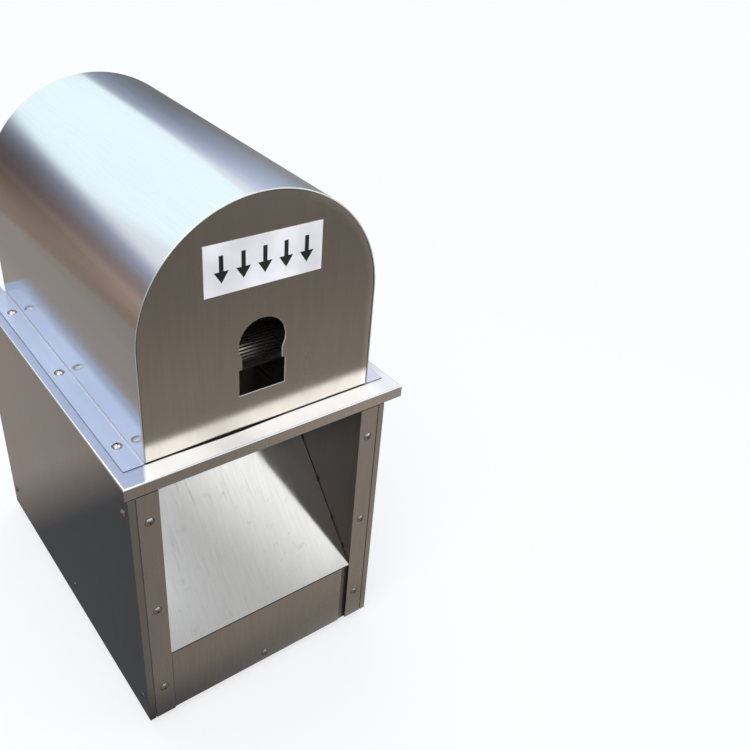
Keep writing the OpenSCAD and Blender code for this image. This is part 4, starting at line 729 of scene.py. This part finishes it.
# Where the screws are, in millimetres: each post's x with its heights, the low one's x and height, the side
# panels' y with height, and the flanges' x and y.
POST_SCREWS = [(-160.5, (347.5, 206, 64.5)), (137, (343, 201.5, 60))]
LOW_SCREW = (-11.75, 26)
SIDE_SCREWS = [(-233, 359.5), (-233, 47), (-10, 47), (233, 47), (233, 359.5)]
FLANGE_SCREWS = ((-161.5, 161.5), (-177.75, -8.75, 160.25))
RING_R_PAN = 5.9 * MM
RING_R_DOME = 6.3 * MM
RING_T = 0.16 * MM
pan_spots = [((x * MM, POST_LO.y, z * MM), TO_FRONT) for x, heights in POST_SCREWS for z in heights]
pan_spots.append(((LOW_SCREW[0] * MM, LOWER_LO.y, LOW_SCREW[1] * MM), TO_FRONT))
for side_x, outward in ((LEFT_LO.x, TO_LEFT), (RIGHT_HI.x, TO_RIGHT)):
    pan_spots += [((side_x, y * MM, z * MM), outward) for y, z in SIDE_SCREWS]
dome_spots = [((x * MM, y * MM, FLANGE_TOP_Z), UP) for x in FLANGE_SCREWS[0] for y in FLANGE_SCREWS[1]]
discs("pan_screw_shade_rings", pan_spots, RING_R_PAN, RING_T, PAINTED_SHADE, "dark_stainless")
discs("dome_screw_shade_rings", dome_spots, RING_R_DOME, RING_T, PAINTED_SHADE, "dark_stainless")


# The lower rollers, with finer flutes than the working model's. A flute's profile is a ridge and a groove,
# each point a share of the pitch and a depth. The last two are the fluted part's half length and middle.
FLUTES = 40
FLUTE_DEEP = 1.3 * MM
FLUTE_PROFILE = ((0.0, 0.0), (0.5, 0.0), (0.65, FLUTE_DEEP), (0.85, FLUTE_DEEP))
SHAFT_R = 9 * MM
ROLLER_HALF = 60 * MM
FEED_X = -2 * MM


def fluted_roller(node, body):
    """A fluted roller with its shaft, in the place of its CAD node."""
    lo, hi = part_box(node)
    centre_y, centre_z = (lo.y + hi.y) / 2, (lo.z + hi.z) / 2
    radius = (hi.z - lo.z) / 2
    bm = bmesh.new()
    rings = []
    for x in (FEED_X - ROLLER_HALF, FEED_X + ROLLER_HALF):
        points = [(TAU * (i + share) / FLUTES, radius - deep) for i in range(FLUTES)
                  for share, deep in FLUTE_PROFILE]
        rings.append([bm.verts.new((x, centre_y + r * math.cos(turn), centre_z + r * math.sin(turn)))
                      for turn, r in points])
    count = len(rings[0])
    for i in range(count):
        j = (i + 1) % count
        bm.faces.new((rings[0][i], rings[0][j], rings[1][j], rings[1][i]))
    for ring in rings:
        bm.faces.new(ring)
    turn_x = Matrix.Rotation(math.pi / 2, 4, "Y")
    for x0, x1 in ((lo.x, FEED_X - ROLLER_HALF), (FEED_X + ROLLER_HALF, hi.x)):
        place = Matrix.Translation(((x0 + x1) / 2, centre_y, centre_z)) @ turn_x
        bmesh.ops.create_cone(bm, cap_ends=True, segments=40, radius1=SHAFT_R, radius2=SHAFT_R, depth=x1 - x0,
                              matrix=place)
    piece = mesh_piece(node + "_fluted", bm, STEEL_ROLLER, body, "roller_steel", node)

    def choose(normal, centre):
        """0 the ridges, the ends and the shaft; 1 the flutes' grooves, painted dark as shade."""
        away = math.hypot(centre.y - centre_y, centre.z - centre_z)
        return 1 if SHAFT_R + MM < away < radius - 0.4 * FLUTE_DEEP and abs(normal.x) < FACING else 0

    face_materials(piece, (STEEL_ROLLER, PAINTED_SHADE), choose)
    weighted(piece, sharp=30)


fluted_roller("lower_front_roller", "front_feed_roller")
fluted_roller("lower_rear_roller", "rear_feed_roller")


# Springs: smooth coils, each fixed in its place at rest, for the springs that push or pull the arms and the
# knives.
COIL_STEPS = 20
WIRE_SIDES = 10


def add_coil(bm, foot, way, across, radius, wire, turns, length):
    """One coil of round wire, from foot along way, with a straight leg as long as the wire is thick at
    each end."""
    foot, way, across = Vector(foot), Vector(way), Vector(across)
    third = way.cross(across)
    steps = turns * COIL_STEPS
    leg = 2 * wire
    rise = length - 2 * leg
    turning = [(0.0, 0.0)] + [(TAU * i / COIL_STEPS, leg + rise * i / steps) for i in range(steps + 1)]
    turning.append((TAU * turns, length))
    path = [foot + (across * math.cos(a) + third * math.sin(a)) * radius + way * up for a, up in turning]
    rings = []
    for i, (a, _) in enumerate(turning):
        along = (path[min(i + 1, len(path) - 1)] - path[max(i - 1, 0)]).normalized()
        outward = across * math.cos(a) + third * math.sin(a)
        side = along.cross(outward).normalized()
        outward = side.cross(along)
        rings.append([bm.verts.new(path[i] + (outward * math.cos(TAU * k / WIRE_SIDES)
                                              + side * math.sin(TAU * k / WIRE_SIDES)) * wire)
                      for k in range(WIRE_SIDES)])
    for below, above in zip(rings, rings[1:]):
        for k in range(WIRE_SIDES):
            after = (k + 1) % WIRE_SIDES
            bm.faces.new((below[k], below[after], above[after], above[k]))
    bm.faces.new(rings[0][::-1])
    bm.faces.new(rings[-1])


def spring_piece(name, bm, node):
    """A spring, fixed in its place at rest."""
    piece = mesh_piece(name, bm, STEEL_SPRING, None, SLOT_OF[node], node)
    for face in piece.data.polygons:
        face.use_smooth = True
    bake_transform(piece)


# Each coil's radius, its wire's radius and its turns, and each knife's side of the ring in X and Z.
ARM_COIL = (4.0 * MM, 0.7 * MM, 12)
KNIFE_COIL = (3.2 * MM, 0.6 * MM, 4)
KNIFE_SIDES = {"knife_1": (1, 1), "knife_2": (1, -1), "knife_3": (-1, -1), "knife_4": (-1, 1)}

for arm in ("front_arm", "rear_arm"):
    spring_node = arm + "_springs"
    lo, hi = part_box(spring_node)
    reach = ARM_COIL[0] + ARM_COIL[1]
    coils = bmesh.new()
    for x in (lo.x + reach, hi.x - reach):
        add_coil(coils, (x, (lo.y + hi.y) / 2, lo.z), UP, TO_RIGHT, *ARM_COIL, hi.z - lo.z)
    spring_piece(arm + "_coils", coils, spring_node)

lo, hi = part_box("knife_springs")
reach = KNIFE_COIL[0] + KNIFE_COIL[1]
for knife, (side_x, side_z) in KNIFE_SIDES.items():
    foot_x = hi.x - reach if side_x > 0 else lo.x + reach
    foot_z = hi.z - reach if side_z > 0 else lo.z + reach
    coils = bmesh.new()
    add_coil(coils, (foot_x, lo.y, foot_z), TO_REAR, UP, *KNIFE_COIL, hi.y - lo.y)
    spring_piece(knife + "_coil", coils, "knife_springs")


# The sign's marks: plain arrows that point down to the inlet. Their span is a share of the sign's width, the
# head is as high as MARK_HEAD, and the shaft is as wide as MARK_BAR.
MARK_COUNT = 5
MARK_SPAN = 0.90
MARK_H = 31 * MM
MARK_W = 17 * MM
MARK_HEAD = 13 * MM
MARK_BAR = 5 * MM
MARK_T = 0.15 * MM


def sign_marks():
    """A row of flat arrows over most of the sign's width."""
    pitch = (SIGN_HI.x - SIGN_LO.x) * MARK_SPAN / MARK_COUNT
    middle = (SIGN_LO.z + SIGN_HI.z) / 2
    top, low = middle + MARK_H / 2, middle - MARK_H / 2
    neck = low + MARK_HEAD
    y = SIGN_LO.y
    bm = bmesh.new()
    for i in range(MARK_COUNT):
        x = (i - (MARK_COUNT - 1) / 2) * pitch
        left, right = x - MARK_BAR / 2, x + MARK_BAR / 2
        shaft = [(left, neck), (right, neck), (right, top), (left, top)]
        head = [(x, low), (x + MARK_W / 2, neck), (x - MARK_W / 2, neck)]
        for outline in (shaft, head):
            front = [bm.verts.new((px, y - MARK_T, pz)) for px, pz in outline]
            rear = [bm.verts.new((px, y + MARK_T, pz)) for px, pz in outline]
            bm.faces.new(front)
            bm.faces.new(rear[::-1])
            for k in range(len(outline)):
                after = (k + 1) % len(outline)
                bm.faces.new((front[k], rear[k], rear[after], front[after]))
    mesh_piece("sign_marks", bm, SIGN_BLACK, ROOT, "sign_white")


sign_marks()


# The camera, from the photograph's own perspective. Its place is in metres, its lens in millimetres.
CAMERA_AT = (-0.4336, -0.92685, 1.0291)
CAMERA_AZ = math.radians(-40.21)
CAMERA_EL = math.radians(33.70)
CAMERA_ROLL = math.radians(5.24)
CAMERA_LENS = 42.19
SENSOR = 36.0


def add_camera():
    """The scene's camera, which looks down by CAMERA_EL and leans by CAMERA_ROLL."""
    cos_az, sin_az = math.cos(CAMERA_AZ), math.sin(CAMERA_AZ)
    cos_roll, sin_roll = math.cos(CAMERA_ROLL), math.sin(CAMERA_ROLL)
    ahead = Vector((-sin_az * math.cos(CAMERA_EL), cos_az * math.cos(CAMERA_EL), -math.sin(CAMERA_EL)))
    level = Vector((cos_az, sin_az, 0))
    upright = level.cross(ahead)
    right = level * cos_roll + upright * sin_roll
    up = upright * cos_roll - level * sin_roll
    data = bpy.data.cameras.new("camera")
    data.lens = CAMERA_LENS
    data.sensor_width = SENSOR
    data.clip_start = 0.01
    data.clip_end = 100
    camera = bpy.data.objects.new("camera", data)
    camera.matrix_world = Matrix.Translation(CAMERA_AT) @ Matrix((right, up, -ahead)).transposed().to_4x4()
    bpy.context.scene.collection.objects.link(camera)
    bpy.context.scene.camera = camera


def area_light(name, place, aim, size, power, colour=(1, 1, 1)):
    """A rectangular lamp, its size (x, y) in metres and its power in watts."""
    data = bpy.data.lights.new(name, "AREA")
    data.energy = power
    data.color = colour
    data.shape = "RECTANGLE"
    data.size, data.size_y = size
    light = bpy.data.objects.new(name, data)
    light.location = place
    light.rotation_euler = (Vector(aim) - Vector(place)).to_track_quat("-Z", "Y").to_euler()
    bpy.context.scene.collection.objects.link(light)


def stage_mesh(name, corners, faces=None):
    """A piece of the stage, with one face through all its corners unless faces are given."""
    mesh = bpy.data.meshes.new(name)
    mesh.from_pydata(corners, [], faces or [tuple(range(len(corners)))])
    made = bpy.data.objects.new(name, mesh)
    bpy.context.scene.collection.objects.link(made)
    return made


# The floor's half width, its share of plain white by the machine, and between which distances from the
# machine's middle that share grows to all of it.
FLOOR_HALF = 12.0
WHITE_SHARE = 0.70
SHADOW_NEAR = 0.7
SHADOW_FAR = 1.9


def pale_floor():
    """A pale floor that shows nearly white to the camera and in reflections. It keeps the shadow close to
    the machine and is plain white further off."""
    s = Shader("floor_white")
    s.set(Base_Color=(0.86, 0.865, 0.87), Roughness=0.9)
    glow = s.node("ShaderNodeEmission")
    glow.inputs["Color"].default_value = (0.97, 0.98, 1.0, 1)
    glow.inputs["Strength"].default_value = 1.0
    rays = s.node("ShaderNodeLightPath")
    seen = s.math("MAXIMUM", rays.outputs["Is Camera Ray"], rays.outputs["Is Glossy Ray"])
    seen = s.math("MAXIMUM", seen, rays.outputs["Is Transmission Ray"])
    x, y, _ = s.axes()
    share = s.spread(s.reach(x, y), SHADOW_NEAR, SHADOW_FAR, WHITE_SHARE, 1.0)
    mixed = s.node("ShaderNodeMixShader")
    s.link(s.math("MULTIPLY", seen, share), mixed.inputs["Fac"])
    s.link(s.bsdf.outputs["BSDF"], mixed.inputs[1])
    s.link(glow.outputs["Emission"], mixed.inputs[2])
    s.link(mixed.outputs["Shader"], s.out.inputs["Surface"])
    lo, hi = -FLOOR_HALF, FLOOR_HALF
    floor = stage_mesh("floor", [(lo, lo, 0), (hi, lo, 0), (hi, hi, 0), (lo, hi, 0)])
    floor.data.materials.append(s.material)


def room():
    """A pale, even room that is white to the camera and in reflections."""
    scene_world = bpy.data.worlds.new("room")
    scene_world.use_nodes = True
    tree = scene_world.node_tree
    tree.nodes.clear()
    out = tree.nodes.new("ShaderNodeOutputWorld")
    back = tree.nodes.new("ShaderNodeBackground")
    rays = tree.nodes.new("ShaderNodeLightPath")
    seen = rays.outputs["Is Camera Ray"]
    for kind in ("Is Glossy Ray", "Is Transmission Ray"):
        either = tree.nodes.new("ShaderNodeMath")
        either.operation = "MAXIMUM"
        tree.links.new(seen, either.inputs[0])
        tree.links.new(rays.outputs[kind], either.inputs[1])
        seen = either.outputs["Value"]
    level = tree.nodes.new("ShaderNodeMapRange")
    level.inputs["To Min"].default_value = 0.80
    level.inputs["To Max"].default_value = 1.0
    back.inputs["Color"].default_value = (0.95, 0.97, 1.0, 1)
    tree.links.new(seen, level.inputs["Value"])
    tree.links.new(level.outputs["Result"], back.inputs["Strength"])
    tree.links.new(back.outputs["Background"], out.inputs["Surface"])
    bpy.context.scene.world = scene_world


def reflected_only(piece, shader, colour, cover=1.0):
    """Makes a studio screen that shows in reflections alone, as dense as cover says."""
    light = shader.node("ShaderNodeEmission")
    shader.link(colour, light.inputs["Color"])
    clear = shader.node("ShaderNodeBsdfTransparent")
    mixed = shader.node("ShaderNodeMixShader")
    shader.feed(mixed.inputs["Fac"], cover)
    shader.link(clear.outputs["BSDF"], mixed.inputs[1])
    shader.link(light.outputs["Emission"], mixed.inputs[2])
    shader.link(mixed.outputs["Shader"], shader.out.inputs["Surface"])
    piece.data.materials.append(shader.material)
    piece.visible_camera = False
    piece.visible_diffuse = False
    piece.visible_transmission = False
    piece.visible_volume_scatter = False
    piece.visible_shadow = False


# The screens that the polished steel reflects: their radius and the ring's height, the ring's colours by
# the share of its height, and the floor's tones by y in front of the machine, with the y where they end.
RING_R = 1.5
RING_H = 2.0
LEFT_TONES = [(0.0, (0.33, 0.25, 0.20)), (0.10, (0.31, 0.23, 0.18)), (0.21, (0.20, 0.145, 0.115)),
              (0.29, (0.12, 0.085, 0.08)), (0.36, (0.12, 0.10, 0.10)), (0.42, (0.17, 0.17, 0.21)),
              (0.48, (0.30, 0.32, 0.41)), (0.53, (0.65, 0.68, 0.78))]
RIGHT_TONES = [(0.0, (0.165, 0.165, 0.17)), (0.31, (0.165, 0.165, 0.175)), (0.44, (0.21, 0.24, 0.28)),
               (0.50, (0.24, 0.27, 0.34)), (0.56, (0.30, 0.33, 0.42)), (0.635, (0.48, 0.52, 0.68)),
               (0.725, (0.75, 0.80, 0.95))]
FRONT_TONES = [(0.0, (0.15, 0.13, 0.115)), (0.2, (0.22, 0.21, 0.20)), (0.4, (0.40, 0.40, 0.41))]
FLOOR_TONES = [(-1.5, 0.15), (-1.1, 0.186), (-0.97, 0.238), (-0.86, 0.268), (-0.77, 0.29), (-0.67, 0.262),
               (-0.53, 0.257), (-0.35, 0.26)]
FLOOR_TONES_END = -0.25


def circle(steps, z):
    """Points round the ring, clockwise from the back."""
    turns = [TAU * i / steps for i in range(steps)]
    return [(RING_R * math.sin(turn), RING_R * math.cos(turn), z) for turn in turns]


def ring_screen():
    """A round screen: brown and dark at the back left, blue-grey at the back right, pale grey at the
    front, and open above, where the room and the large lamp show."""
    steps = 96
    ring = stage_mesh("ring_screen", circle(steps, 0.0) + circle(steps, RING_H),
                      [(i, (i + 1) % steps, steps + (i + 1) % steps, steps + i) for i in range(steps)])
    s = Shader("ring_screen")
    x, y, z = s.axes()
    turn = s.math("MULTIPLY", s.math("ARCTAN2", x, y), 180 / math.pi)
    ahead = s.math("ADD", turn, s.math("MULTIPLY", s.math("LESS_THAN", turn, 0.0), 360.0))
    height = s.math("DIVIDE", z, RING_H)

    # The colours at the back left, the back right and the front.
    more_left = s.math("MULTIPLY", s.spread(turn, -44, -28, 1.5, 0.0),
                       s.math("MULTIPLY", s.spread(z, 0.15, 0.45), s.spread(z, 0.75, 1.0, 1.0, 0.3)))
    left = s.scaled(s.ramp(height, LEFT_TONES, smooth=False), s.math("ADD", more_left, 1.0))
    more_right = s.math("MULTIPLY", s.spread(turn, 30, 44, 0.0, 0.8), s.spread(z, 1.1, 1.35, 1.0, 0.0))
    right = s.scaled(s.ramp(height, RIGHT_TONES, smooth=False), s.math("ADD", more_right, 1.0))
    slope = s.math("ADD", s.math("MULTIPLY", z, 10.0), 150.3)
    gain = s.math("MULTIPLY", s.past(slope, ahead), 0.072)
    pale = s.math("MINIMUM", s.math("ADD", gain, 0.54), 1.12)
    front = s.mix(s.spread(z, 0.62, 0.76), s.ramp(height, FRONT_TONES), pale)

    # The shares of the right and of the back at each place, and how high the screen covers there.
    side = s.spread(turn, -9, 9)
    back = s.spread(y, -0.15, 0.35)
    tone = s.mix(back, front, s.mix(side, left, right))
    slant = s.math("MULTIPLY", s.past(turn, 15), 0.028)
    right_cover = s.spread(s.math("SUBTRACT", z, slant), 1.06, 1.13, 1.0, 0.0)
    back_cover = s.blend(side, s.spread(z, 0.94, 1.07, 1.0, 0.0), right_cover)
    patch = s.math("MULTIPLY", s.spread(ahead, 166, 172, 1.0, 0.0), s.spread(ahead, 136, 142))
    front_cover = s.math("MAXIMUM", s.spread(z, 0.85, 1.15, 1.0, 0.0), patch)
    reflected_only(ring, s, tone, s.blend(back, front_cover, back_cover))


def floor_screen():
    """The warm, darker floor round the machine."""
    piece = stage_mesh("floor_screen", circle(48, 1.5 * MM))
    s = Shader("floor_screen")
    x, y, _ = s.axes()
    left = s.mix(s.spread(y, 0.17, 0.32), (0.092, 0.094, 0.100), (0.37, 0.325, 0.29))
    right = s.mix(s.spread(y, -0.2, 0.3), (0.30, 0.28, 0.27), (0.42, 0.41, 0.41))

    # The front, warm all along and darker close to the machine.
    start = FLOOR_TONES[0][0]
    stops = [((place - start) / (FLOOR_TONES_END - start), (tone, 0.89 * tone, 0.79 * tone))
             for place, tone in FLOOR_TONES]
    front = s.ramp(s.spread(y, start, FLOOR_TONES_END), stops, smooth=False)
    front = s.scaled(front, s.spread(y, -0.31, -0.255, 1.0, 0.43))
    ahead = s.spread(y, -0.29, -0.25, 1.0, 0.0)
    tone = s.mix(ahead, s.mix(s.spread(x, -0.15, 0.15), left, right), front)
    reflected_only(piece, s, tone)


add_camera()
pale_floor()
room()
ring_screen()
floor_screen()
area_light("key", (-1.3, -0.9, 2.2), (0, 0, 0.4), (1.2, 1.2), 22)
area_light("top", (0.1, 0.5, 2.4), (0, 0, 0.5), (1.4, 1.4), 16)
area_light("fill", (1.6, -1.4, 1.2), (0, 0, 0.3), (1.2, 1.2), 6)
area_light("back", (-0.15, 1.75, 1.75), (-0.05, 0, 0.9), (1.9, 1.4), 2.3, colour=(0.53, 1.0, 0.92))

bpy.context.scene.view_settings.view_transform = "Standard"
